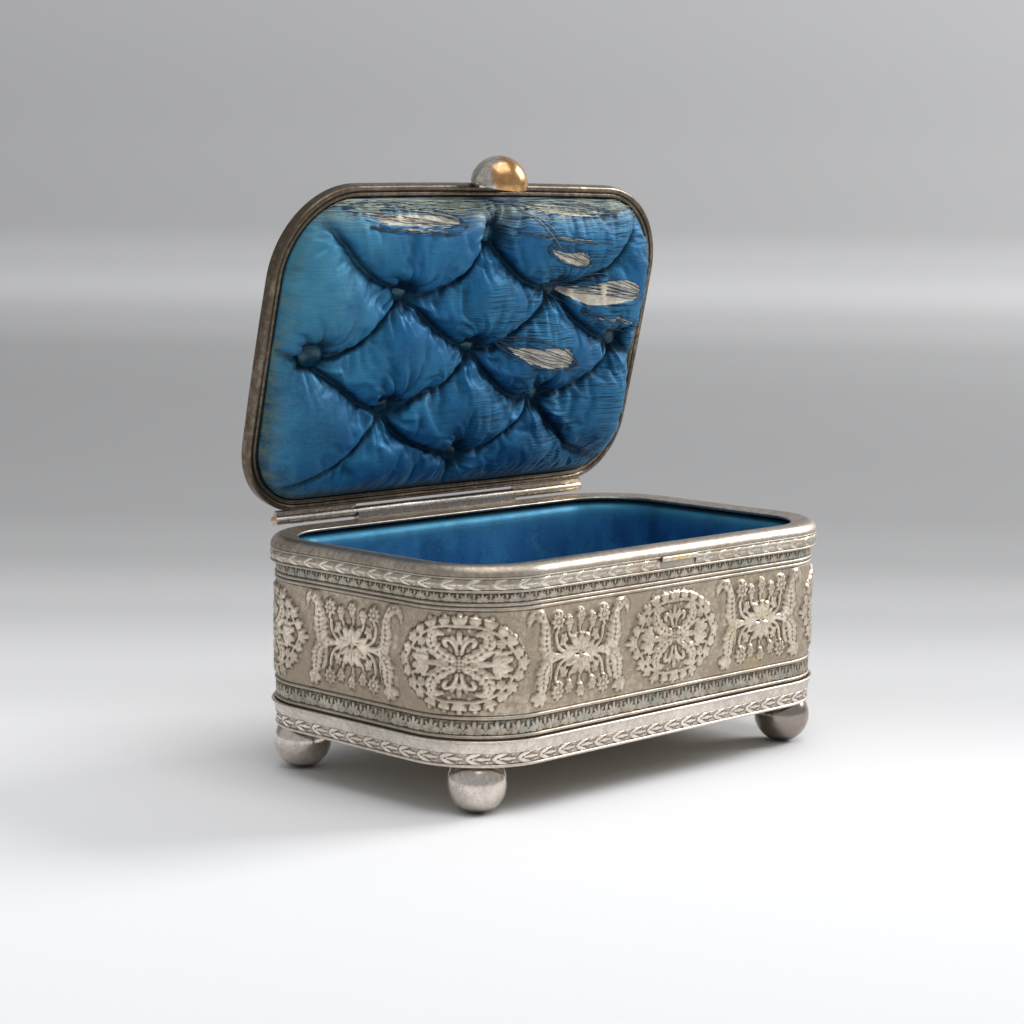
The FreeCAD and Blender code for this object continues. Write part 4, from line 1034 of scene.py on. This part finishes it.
# %% A helper for finishes
class Finish:
    """A material that is being built. Sockets that stay the same all over are set by name."""
    def __init__(self, name, **sockets):
        self.material = bpy.data.materials.new(name)
        self.material.use_nodes = True
        self.tree = self.material.node_tree
        self.shader = self.tree.nodes["Principled BSDF"]
        for label, value in sockets.items():
            self.shader.inputs[label.replace("_", " ")].default_value = value
        self.place = self.add("TexCoord").outputs["Object"]

    def add(self, kind, joined=(), **settings):
        node = self.tree.nodes.new("ShaderNode" + kind)
        for label, value in settings.items():
            setattr(node, label, value)
        for socket, value in dict(joined).items():
            if isinstance(value, bpy.types.NodeSocket):
                self.tree.links.new(value, node.inputs[socket])
            else:
                node.inputs[socket].default_value = value
        return node

    def mark(self, name):
        return self.add("Attribute", attribute_name=name).outputs["Fac"]

    def noise(self, scale, detail=3.0, roughness=0.55, place=None, stretch=None, distortion=0.0):
        """Random heights about 0.5. stretch gives a scale for each direction."""
        place = place or self.place
        if stretch is not None:
            place = self.add("Mapping", {"Vector": place, "Scale": stretch}).outputs[0]
        return self.add("TexNoise", {"Vector": place, "Scale": scale, "Detail": detail,
                                     "Roughness": roughness, "Distortion": distortion}).outputs["Fac"]

    def ramp(self, value, low, high, out_low=0.0, out_high=1.0, smooth=True):
        """Maps low..high to out_low..out_high, and holds the ends."""
        kind = "SMOOTHSTEP" if smooth else "LINEAR"
        return self.add("MapRange", {0: value, 1: low, 2: high, 3: out_low, 4: out_high},
                        interpolation_type=kind).outputs[0]

    def calc(self, how, a, b=0.0, clamp=False):
        return self.add("Math", {0: a, 1: b}, operation=how, use_clamp=clamp).outputs[0]

    def times(self, *values):
        out = values[0]
        for value in values[1:]:
            out = self.calc("MULTIPLY", out, value)
        return out

    def mix(self, share, a, b):
        """Colour a turned into colour b by a share from 0 to 1."""
        a = (*a, 1) if isinstance(a, tuple) and len(a) == 3 else a
        b = (*b, 1) if isinstance(b, tuple) and len(b) == 3 else b
        return self.add("Mix", {0: share, 6: a, 7: b}, data_type="RGBA").outputs[2]

    def tint(self, tone, colour, *shares):
        """A tone turned into a colour by the product of the shares."""
        return self.mix(self.times(*shares), tone, colour)

    def shut(self, reach):
        """1 in the open, and less where other surfaces stand within reach, in millimetres."""
        return self.add("AmbientOcclusion", {"Distance": reach * MM}, samples=4).outputs["AO"]

    def tones(self, value, stops):
        """Greys that follow a value, eased between stops of (value, grey)."""
        low, high = stops[0][0], stops[-1][0]
        node = self.add("ValToRGB", {0: self.ramp(value, low, high, smooth=False)})
        node.color_ramp.interpolation = "EASE"
        spots = node.color_ramp.elements
        while len(spots) < len(stops):
            spots.new(0.5)
        for spot, (at, grey) in zip(spots, stops):
            spot.position = (at - low) / (high - low)
            spot.color = (grey, grey, grey * 1.01, 1)
        return node.outputs[0]

    def part(self, axis, place=None):
        return self.add("SeparateXYZ", {0: place or self.place}).outputs[axis]

    def bump(self, height, distance, strength=1.0, under=None):
        joined = {"Height": height, "Distance": distance * MM, "Strength": strength}
        if under is not None:
            joined["Normal"] = under
        return self.add("Bump", joined).outputs[0]

    def done(self, **ends):
        for label, value in ends.items():
            self.tree.links.new(value, self.shader.inputs[label.replace("_", " ")])
        return self.material


# %% [markdown]
# Old silver plate is bright where cloths rub it and grey-brown where they don't reach. So the
# colour follows the relief: hollows get tarnish, the tops of the chasing are polished, and slow
# noise makes patches where the plating has yellowed. The ground between the motifs is matted with
# a fine punch, which is a small noise in the bump.

# %% Tarnished silver
def silver(name, clean=(0.92, 0.81, 0.67), dull=(0.40, 0.33, 0.255), dirt=(0.075, 0.055, 0.04), matt=0.0,
           rough=(0.22, 0.40), grime=0.35, gold=0.0, green=0.0, seams=0.0, dim=0.0, crest=(0.2, 0.92)):
    """The polished, the worn and the dirty tone, and how they share the relief.

    crest gives the heights where polish starts and is full, matt is the depth of the punched
    ground, grime the share of tarnish, gold and green its tints, seams the dirt in the joints, and
    dim how much browner the right end is."""
    f = Finish(name, Metallic=1.0)
    hollow, rise = f.mark("hollow"), f.mark("rise")
    slow, fine, specks = f.noise(55, 3, 0.6), f.noise(620, 4, 0.65), f.noise(1700, 2, 0.6)
    polish = f.ramp(rise, crest[0], crest[1], 0.0, 0.85, smooth=False)
    polish = f.calc("ADD", polish, f.ramp(fine, 0.3, 0.7, -0.2, 0.2))
    polish = f.calc("ADD", polish, f.ramp(slow, 0.3, 0.7, 0.30 - grime, 0.62 - grime), clamp=True)
    tone = f.mix(polish, dull, clean)
    if gold:
        patch = f.times(f.ramp(f.noise(95, 3, 0.6), 0.5, 0.66), f.ramp(f.part(0), -0.01, 0.03, 0.25, 1.0))
        tone = f.tint(tone, (0.70, 0.55, 0.28), patch, f.ramp(fine, 0.4, 0.62), gold)
    if green:
        tone = f.tint(tone, (0.27, 0.33, 0.30), f.ramp(f.noise(140, 3, 0.6), 0.44, 0.62), green)
    if dim:
        tone = f.tint(tone, (0.22, 0.18, 0.15), f.ramp(f.part(0), 0.01, 0.055, 0.0, dim))
    depth = f.calc("ADD", f.ramp(hollow, 0.0, 0.16, 0.0, 0.9), f.ramp(specks, 0.58, 0.72, 0.0, 0.5))
    if seams:
        depth = f.calc("ADD", depth, f.ramp(f.shut(2.2), 0.9, 0.35, 0.0, seams))
    depth = f.calc("MULTIPLY", depth, f.ramp(fine, 0.25, 0.6, 0.6, 1.0), clamp=True)
    tone = f.mix(depth, tone, dirt)
    shine = f.ramp(f.calc("SUBTRACT", polish, depth), 0.0, 1.0, rough[1], rough[0], smooth=False)
    scratch = f.noise(900, 2, 0.5, stretch=(1, 1, 0.12))
    normal = f.bump(f.calc("ADD", fine, f.times(scratch, 0.4)), 0.03, 0.5)
    if matt:
        normal = f.bump(f.times(specks, f.ramp(rise, 0.1, 0.5, 1.0, 0.25)), matt, 0.9, normal)
    return f.done(Base_Color=tone, Roughness=shine, Normal=normal)


finishes = {
    "chased": silver("chased silver", matt=0.16, rough=(0.24, 0.46), gold=0.5, grime=0.42),
    "stamped": silver("stamped silver", clean=(0.74, 0.67, 0.57), dull=(0.33, 0.28, 0.22), matt=0.12,
                      rough=(0.28, 0.5), green=0.38, grime=0.42, seams=0.3, crest=(0.3, 1.0)),
    "leaves": silver("leaf silver", matt=0.10, clean=(0.90, 0.82, 0.71), dull=(0.36, 0.30, 0.24),
                     rough=(0.24, 0.45), grime=0.38, crest=(0.1, 0.6)),
    "plate": silver("smooth silver", clean=(0.82, 0.75, 0.67), dull=(0.36, 0.30, 0.24), rough=(0.20, 0.42),
                    grime=0.26, seams=0.8, gold=0.25),
    "wall": silver("wall silver", clean=(0.72, 0.66, 0.58), rough=(0.26, 0.46),
                   grime=0.2, green=0.3, seams=0.7),
    "skirt": silver("skirt silver", clean=(0.97, 0.90, 0.82), dull=(0.56, 0.49, 0.42), rough=(0.22, 0.42),
                    grime=0.12, seams=0.6),
    "skirt_leaves": silver("skirt leaf silver", matt=0.08, clean=(0.90, 0.82, 0.73), dull=(0.50, 0.43, 0.36),
                           dirt=(0.15, 0.12, 0.09), rough=(0.24, 0.45), grime=0.32, crest=(0.1, 0.6)),
    "ball": silver("ball silver", clean=(0.94, 0.89, 0.83), dull=(0.58, 0.51, 0.45), rough=(0.10, 0.24),
                   grime=0.16, seams=0.95, dim=0.75),
    "frame": silver("frame silver", clean=(0.38, 0.33, 0.27), dull=(0.11, 0.085, 0.06), rough=(0.18, 0.38),
                    grime=0.36, seams=0.8, gold=0.2),
}


def rubbed(name, bare, direction, low, high, spread=3.0, rough=(0.16, 0.3), even=False):
    """Plate worn through to the metal under it, from low to high along a direction, in mm.

    even counts the distance the same way on both sides of the middle."""
    f = Finish(name, Metallic=1.0)
    way = f.add("VectorMath", {0: f.place, 1: tuple(v / MM for v in direction)},
                operation="DOT_PRODUCT").outputs["Value"]
    if even:
        way = f.calc("ABSOLUTE", way)
    wander = f.ramp(f.noise(260, 4, 0.65), 0.3, 0.7, -0.5 * spread, 0.5 * spread)
    worn_through = f.ramp(f.calc("ADD", way, wander), low, high)
    fine = f.noise(700, 4, 0.6)
    plate = f.mix(f.ramp(fine, 0.3, 0.7), (0.40, 0.35, 0.31), (0.74, 0.69, 0.62))
    metal = f.mix(f.ramp(fine, 0.25, 0.75), tuple(0.66 * v for v in bare), bare)
    tone = f.mix(worn_through, plate, metal)
    tone = f.tint(tone, (0.10, 0.06, 0.035), f.ramp(f.noise(950, 3, 0.6), 0.62, 0.74, 0.0, 0.7))
    tone = f.tint(tone, (0.09, 0.06, 0.04), f.ramp(f.shut(1.6), 0.85, 0.35, 0.0, 0.75))
    return f.done(Base_Color=tone, Roughness=f.ramp(fine, 0.25, 0.75, rough[1], rough[0]),
                  Normal=f.bump(fine, 0.03, 0.5))


slant = (math.cos(math.radians(45)), -math.cos(math.radians(45)), 0.0)
finishes["knob"] = rubbed("worn knob", (0.66, 0.37, 0.16), slant, -16.4, -14.4)
finishes["catch"] = rubbed("worn catch", (0.82, 0.62, 0.34), (1, 0, 0), 5.6, 2.2, 2.0, even=True)
finishes["hinge"] = rubbed("hinge silver", (0.62, 0.50, 0.36), (1, 0, 0), 10, 80, 70.0, (0.24, 0.4))
finishes["pin"] = rubbed("pin copper", (0.78, 0.52, 0.40), (1, 0, 0), -200, -190)

# %% [markdown]
# The plain inside metals and the board never see polish. They are dull, spotted and a little
# uneven, so their colour is two tones of noise and their roughness is high.

# %% Inside metals, card and thread
def plain(name, light, dark, metallic, rough, scale, depth, stretch=None):
    f = Finish(name, Metallic=metallic)
    grain = f.noise(scale, 5, 0.6, stretch=stretch)
    spots = f.ramp(f.noise(scale * 0.3, 3, 0.5), 0.5, 0.7)
    tone = f.mix(f.ramp(grain, 0.3, 0.7), dark, light)
    tone = f.tint(tone, tuple(0.5 * v for v in dark), spots, 0.4)
    return f.done(Base_Color=tone, Roughness=f.ramp(grain, 0.2, 0.8, rough + 0.1, rough - 0.1),
                  Normal=f.bump(grain, depth, 0.7))


across_x, across_z = (0.3, 1, 1), (1, 1, 0.1)     # grain that is drawn out along one direction
plain_looks = {
    "floor_metal": ("tarnished brass", (0.46, 0.38, 0.25), (0.20, 0.15, 0.09), 1.0, 0.5, 300, 0.05),
    "steel": ("dull steel", (0.48, 0.47, 0.45), (0.26, 0.24, 0.22), 1.0, 0.4, 800, 0.03, across_z),
    "card": ("millboard", (0.50, 0.40, 0.27), (0.36, 0.28, 0.18), 0.0, 0.85, 900, 0.08),
    "thread": ("waxed thread", (0.16, 0.27, 0.31), (0.08, 0.14, 0.17), 0.0, 0.7, 3000, 0.1, (1, 1, 0.2)),
    "blue_thread": ("blue thread", (0.02, 0.10, 0.19), (0.004, 0.025, 0.06), 0.0, 0.6, 900, 0.05, (0.2, 1, 1)),
    "pale_thread": ("faded thread", (0.50, 0.52, 0.42), (0.22, 0.28, 0.24), 0.0, 0.75, 900, 0.05, (0.2, 1, 1)),
    "wadding": ("cotton wadding", (0.76, 0.70, 0.57), (0.52, 0.45, 0.33), 0.0, 0.95, 900, 0.3, across_x),
    # the buttons' satin is darker than the cushion's: painted shade, for the wells that they sit in
    "buttons": ("button satin", (0.012, 0.085, 0.13), (0.003, 0.022, 0.045), 0.35, 0.3, 700, 0.03, across_x)}
finishes.update({key: plain(*look) for key, look in plain_looks.items()})
print(len(finishes), "finishes so far")

# %% [markdown]
# Satin floats its threads on the face of the cloth, so it glows along the folds that turn to the
# light. Here its colour is also painted darker where it sinks, as painted shade, small random glints
# are painted in as highlights, and the upper left pillows get a paler painted sheen. Light has faded
# the edges. The weave, the faded threads and the torn places are drawn in the cloth's own flat
# coordinates, in millimetres, so they follow its swelling.

# %% Satin
def worn_cushion(f, cloth, tone, normal):
    """The cushion's ageing, layer over layer: bleached, threadbare and torn; with it, a painted sheen on the
    upper left pillows, the fold under the knob painted as highlight and shade, and painted shade in the wells
    and creases.
    """
    along_u, along_v = f.part(0, cloth), f.part(1, cloth)
    # light has bleached a strip beside the frame, most of all at the left
    faded = f.times(f.ramp(f.mark("edge"), 6.0, 1.0), f.ramp(f.noise(0.3, 4, 0.75, cloth), 0.34, 0.66),
                    f.ramp(along_u, 10, -48, 0.25, 1.0))
    spotted = f.times(f.ramp(along_u, -38, -60, 0.0, 0.5), f.ramp(f.noise(0.9, 4, 0.8, cloth), 0.48, 0.62))
    tone = f.tint(tone, (0.16, 0.18, 0.10), f.calc("MAXIMUM", faded, spotted), 0.7)
    # painted sheen: a paler cyan on the upper left pillows
    painted_sheen = f.times(f.ramp(along_u, -26, -60), f.ramp(f.noise(0.12, 3, 0.6, cloth), 0.3, 0.6, 0.3, 1.0),
                     f.ramp(along_v, 12, -18, 0.15, 1.0))
    tone = f.tint(tone, (0.070, 0.265, 0.385), painted_sheen, 0.75)
    # the fold under the knob is painted, not modelled: a painted highlight on its flanks and painted shade down
    # its middle
    middle = f.calc("ABSOLUTE", along_u)
    tone = f.tint(tone, (0.22, 0.34, 0.42), f.ramp(middle, 10, 4), f.ramp(along_v, -31, -38), 0.8)
    tone = f.tint(tone, (0.006, 0.030, 0.075), f.ramp(middle, 3.2, 2.2), f.ramp(along_v, -29, -33), 0.9)
    # the warp has worn away over the right half and the front, so the weft shows as dark lines
    strands = f.noise(1.0, 3, 0.7, cloth, (0.07, 2.8, 1), 0.4)
    where = f.times(f.ramp(along_u, -22, 12, 0.15, 1.0), f.ramp(f.noise(0.06, 2, 0.5, cloth), 0.36, 0.56))
    tone = f.tint(tone, (0.006, 0.022, 0.05), f.ramp(strands, 0.52, 0.41), where, 0.95)
    tone = f.tint(tone, (0.13, 0.26, 0.33), f.ramp(strands, 0.58, 0.7), where, 0.4)
    frayed = f.times(f.mark("fray"), f.ramp(strands, 0.44, 0.56))
    tone = f.tint(tone, (0.40, 0.43, 0.34), frayed, 0.85)
    # little light reaches the wells round the buttons and the bottom of a crease
    tone = f.tint(tone, (0.002, 0.010, 0.024), f.ramp(f.mark("well"), 0.2, 0.85), 0.9)
    tone = f.tint(tone, (0.002, 0.011, 0.030), f.ramp(f.shut(6), 0.82, 0.48, 0.0, 0.85))
    fluff = f.noise(1.0, 5, 0.7, cloth, (0.5, 2.2, 1), 0.6)
    bare = f.mix(f.ramp(fluff, 0.25, 0.6), (0.50, 0.42, 0.31), (0.78, 0.71, 0.58))
    hole = f.ramp(f.calc("ADD", f.mark("tear"), f.ramp(strands, 0.3, 0.7, -0.30, 0.30)), 0.42, 0.58)
    threadbare = f.calc("ADD", hole, f.calc("ADD", frayed, where))
    normal = f.bump(f.times(strands, threadbare), 0.30, 0.6, normal)
    f.tree.links.new(f.ramp(hole, 0, 1, 0.28, 0.0), f.shader.inputs["Metallic"])
    return f.mix(hole, tone, bare), f.ramp(hole, 0, 1, 0.47, 0.95), normal


def satin(name, deep, middle, light, cushion_cloth):
    """Three tones from crease to crown, the crease tone being painted shade, then the floats of the weave and
    painted glints over them, and the wear on top.
    """
    f = Finish(name, Metallic=0.25, Sheen_Weight=0.10, Sheen_Roughness=0.4,
               Sheen_Tint=(0.25, 0.65, 0.95, 1), Specular_IOR_Level=0.35, Specular_Tint=(0.30, 0.72, 1.0, 1))
    cloth = f.add("UVMap", uv_map="cloth").outputs[0]
    tone = f.mix(f.ramp(f.noise(0.055, 3, 0.55, cloth), 0.35, 0.68), middle, light)
    # painted shade: the 'deep' mark darkens the cloth towards the crease tone in its hollows, and in the dips of
    # the lining's ripples
    tone = f.mix(f.ramp(f.mark("deep"), -0.20, 0.44), tone, deep)
    weft = f.noise(1.0, 2, 0.5, cloth, (0.35, 5.0, 1))
    slanted = f.add("Mapping", {"Vector": cloth, "Rotation": (0, 0, math.radians(28)),
                                "Scale": (1.2, 4.2, 1)})
    twill = f.noise(1.0, 2, 0.6, slanted.outputs[0])
    tone = f.mix(f.ramp(twill, 0.35, 0.68, 0.0, 0.35), tone, light)
    # painted glints: small random highlights in a paler copy of the light tone
    glints = f.ramp(f.noise(3.2, 2, 0.7, cloth), 0.55, 0.72, 0.0, 0.35)
    tone = f.mix(glints, tone, tuple(1.5 * v for v in light))
    tone = f.mix(f.ramp(weft, 0.55, 0.75, 0.0, 0.55), tone, deep)
    normal = f.bump(f.calc("ADD", f.times(weft, 0.6), f.times(twill, 0.5)), 0.14, 0.6)
    if cushion_cloth:
        tone, rough, normal = worn_cushion(f, cloth, tone, normal)
    else:
        # the lining: pale clouds, which are painted sheen where its folds catch the light, dust, and a painted
        # highlight along its top edge under the rim
        clouds, dust = f.noise(0.10, 4, 0.65, cloth), f.noise(1.5, 3, 0.75, cloth)
        tone = f.tint(tone, (0.045, 0.235, 0.430), f.ramp(clouds, 0.50, 0.64, 0.0, 0.5))
        tone = f.tint(tone, (0.09, 0.27, 0.42), f.ramp(dust, 0.60, 0.70, 0.0, 0.5))
        tone = f.tint(tone, (0.06, 0.26, 0.37), f.ramp(f.part(2), 0.0535, 0.0600), 0.75)
        rough = f.ramp(twill, 0.2, 0.8, 0.36, 0.50)
    return f.done(Base_Color=tone, Roughness=rough, Normal=normal)


finishes["lid_satin"] = satin("lid satin", (0.002, 0.012, 0.038), (0.010, 0.091, 0.236),
                              (0.032, 0.194, 0.372), True)
finishes["lining"] = satin("lining satin", (0.010, 0.060, 0.180), (0.018, 0.118, 0.315),
                           (0.040, 0.215, 0.44), False)

# %% [markdown]
# Every piece of the frame gets a finish by its place: the balls, the smooth mouldings and the
# hinge each wear in their own way.

# %% A finish for every piece
by_node = {"body_shell": "wall", "rim_band": "wall", "base_gallery": "skirt", "rim_ledge": "plate",
           "catch_bar": "catch", "lid_frame": "frame", "lid_shell": "plate", "lid_knob": "knob",
           "knob_plate": "knob", "hinge_pin": "pin", "floor_plate": "floor_metal",
           "foot_collars": "floor_metal", "foot_nuts": "floor_metal", "foot_studs": "steel",
           "lining_wall_card": "card", "lining_floor_card": "card", "lid_board": "card",
           "lining_wall_pad": "lining", "lining_floor_pad": "lining", "lid_wadding": "wadding",
           "lid_pad": "lid_satin", "tuft_buttons": "lid_satin", "tuft_ties": "thread"}
for name, thing in nodes.items():
    choice = by_node.get(name, name.split("_")[0])      # the balls and the hinge's knuckles by their kind
    for slot in thing.material_slots:
        slot.material = finishes[choice]
by_piece = {"cushion": "lid_satin", "buttons": "buttons", "crossing_threads": "blue_thread",
            "frayed_threads": "pale_thread", "lining_wall": "lining", "lining_floor": "lining",
            "border_low": "stamped", "border_high": "stamped", "rim_leaves": "leaves",
            "gallery_leaves": "skirt_leaves", "lid_laurel": "leaves"}
for piece in pieces_made:
    piece.data.materials.append(finishes[by_piece.get(piece.name, "chased")])
    piece.data.polygons.foreach_set("use_smooth", [True] * len(piece.data.polygons))
print("finished", len(nodes), "nodes and", len(pieces_made), "pieces")

# %% [markdown]
# Every piece rides on the body that carries it. The real stuffing is pressed into the box as the lid
# shuts, but here the lid's soft pieces keep their shape; they only get meshes of their own.

# %% Pieces to bodies
on_lid = ("lid_chasing", "lid_laurel", "cushion", "buttons", "crossing_threads", "frayed_threads")
for piece in pieces_made:
    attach(piece, "lid" if piece.name in on_lid else "box")
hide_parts("lid_pad", "lid_wadding")
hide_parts("tuft_buttons")
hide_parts("lining_wall_pad")
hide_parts("lining_floor_pad")
board_face = opened(np.array([0.0, tuft_y, board_under])) * MM
outward = (opened(np.array([0.0, tuft_y, board_under - 1])) * MM - board_face) / MM
for piece in (cushion, buttons, dark_threads, pale_threads):
    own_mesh(piece)

# %% [markdown]
# The room is a pale floor that curves up into a backdrop. The camera is as far away, as high and
# as turned as the photographer's, which a fit of the box's edges gave.

# %% The room, the lamps and the camera
sweep_turn = math.radians(-45.18)           # the backdrop faces the camera


def backdrop():
    """A floor, a quarter round and a wall: one profile carried sideways."""
    bend_at, radius, wall_height = 1500, 600, 3600
    t = np.linspace(0, 1, 40)[1:] * math.pi / 2
    run = np.concatenate([np.linspace(-3000, bend_at, 20), bend_at + radius * np.sin(t),
                          [bend_at + radius]])
    rise = np.concatenate([np.zeros(20), radius * (1 - np.cos(t)), [wall_height]])
    across = np.linspace(-6000, 6000, 9)
    x = across[:, None] * math.cos(sweep_turn) - run[None, :] * math.sin(sweep_turn)
    y = across[:, None] * math.sin(sweep_turn) + run[None, :] * math.cos(sweep_turn)
    return grid_piece("backdrop", np.stack([x, y, np.broadcast_to(rise, x.shape)], -1)[::-1])


room = backdrop()
pieces_made.remove(room)

azimuth, elevation, roll = (math.radians(v) for v in (-45.18069, 7.58185, 0.60134))
right = Vector((math.cos(azimuth), math.sin(azimuth), 0))
back = Vector((right.y * math.cos(elevation), -right.x * math.cos(elevation), math.sin(elevation)))
up = back.cross(right)
aim = Vector((0, 0, 30)) + right * -10.47983 + up * 35.02159
right, up = right * math.cos(roll) + up * math.sin(roll), up * math.cos(roll) - right * math.sin(roll)
camera = bpy.data.objects.new("camera", bpy.data.cameras.new("camera"))
camera.data.lens = 2493.27812 / 1024 * 36
camera.data.clip_start, camera.data.clip_end = 0.05, 20
facing = Matrix((right, up, back)).transposed().to_4x4()
camera.matrix_world = Matrix.Translation((aim + back * 668.28195) * MM) @ facing
bpy.context.scene.collection.objects.link(camera)
bpy.context.scene.camera = camera
print("camera", [round(v, 3) for v in camera.location], "lens", round(camera.data.lens, 2))


def lamp(name, place, size, watts):
    """A square soft lamp that faces the box. place and size are in millimetres."""
    light = bpy.data.lights.new(name, "AREA")
    light.size, light.energy = size * MM, watts
    thing = bpy.data.objects.new(name, light)
    thing.location = Vector(place) * MM
    thing.rotation_euler = (Vector((0, 0, 60)) - Vector(place)).to_track_quat("-Z", "Y").to_euler()
    bpy.context.scene.collection.objects.link(thing)


lamp("window", (2900, -900, 1700), 1400, 92)
lamp("overhead", (-200, -900, 3100), 2600, 46)
world = bpy.context.scene.world or bpy.data.worlds.new("world")
bpy.context.scene.world = world
world.use_nodes = True
background = world.node_tree.nodes["Background"]
background.inputs["Color"].default_value = (0.62, 0.63, 0.64, 1)
background.inputs["Strength"].default_value = 0.72

# %% [markdown]
# The floor is painted white near the box and greyer further back, and a paler band is painted along
# the foot of the backdrop. This is painted light, which stands for the fall of the studio light on
# the sweep, laid out along its own run and height.

# %% The sweep's tones
def sweep_finish():
    f = Finish("sweep", Roughness=0.9, Specular_IOR_Level=0.1)
    away = f.calc("ADD", f.times(f.part(0), -math.sin(sweep_turn)),
                  f.times(f.part(1), math.cos(sweep_turn)))
    # painted light: the floor is lighter near the box and greyer further back, and the backdrop has a paler band
    # near its foot
    painted_floor_light = ((-0.30, 0.80), (-0.05, 0.90), (0.10, 0.66), (0.232, 0.49), (0.36, 0.37), (0.50, 0.325),
                   (0.75, 0.315), (1.05, 0.32), (1.57, 0.355))
    painted_wall_light = ((0.0, 0.355), (0.02, 0.42), (0.05, 0.53), (0.075, 0.48), (0.11, 0.41), (0.2, 0.43),
                  (0.4, 0.50))
    tone = f.mix(f.ramp(f.part(2), 0.0, 0.004), f.tones(away, painted_floor_light), f.tones(f.part(2), painted_wall_light))
    return f.done(Base_Color=tone, Normal=f.bump(f.noise(180, 2, 0.5), 0.02, 0.2))


room.data.materials.append(sweep_finish())
room.data.polygons.foreach_set("use_smooth", [True] * len(room.data.polygons))
bpy.context.scene.view_settings.view_transform = "Standard"
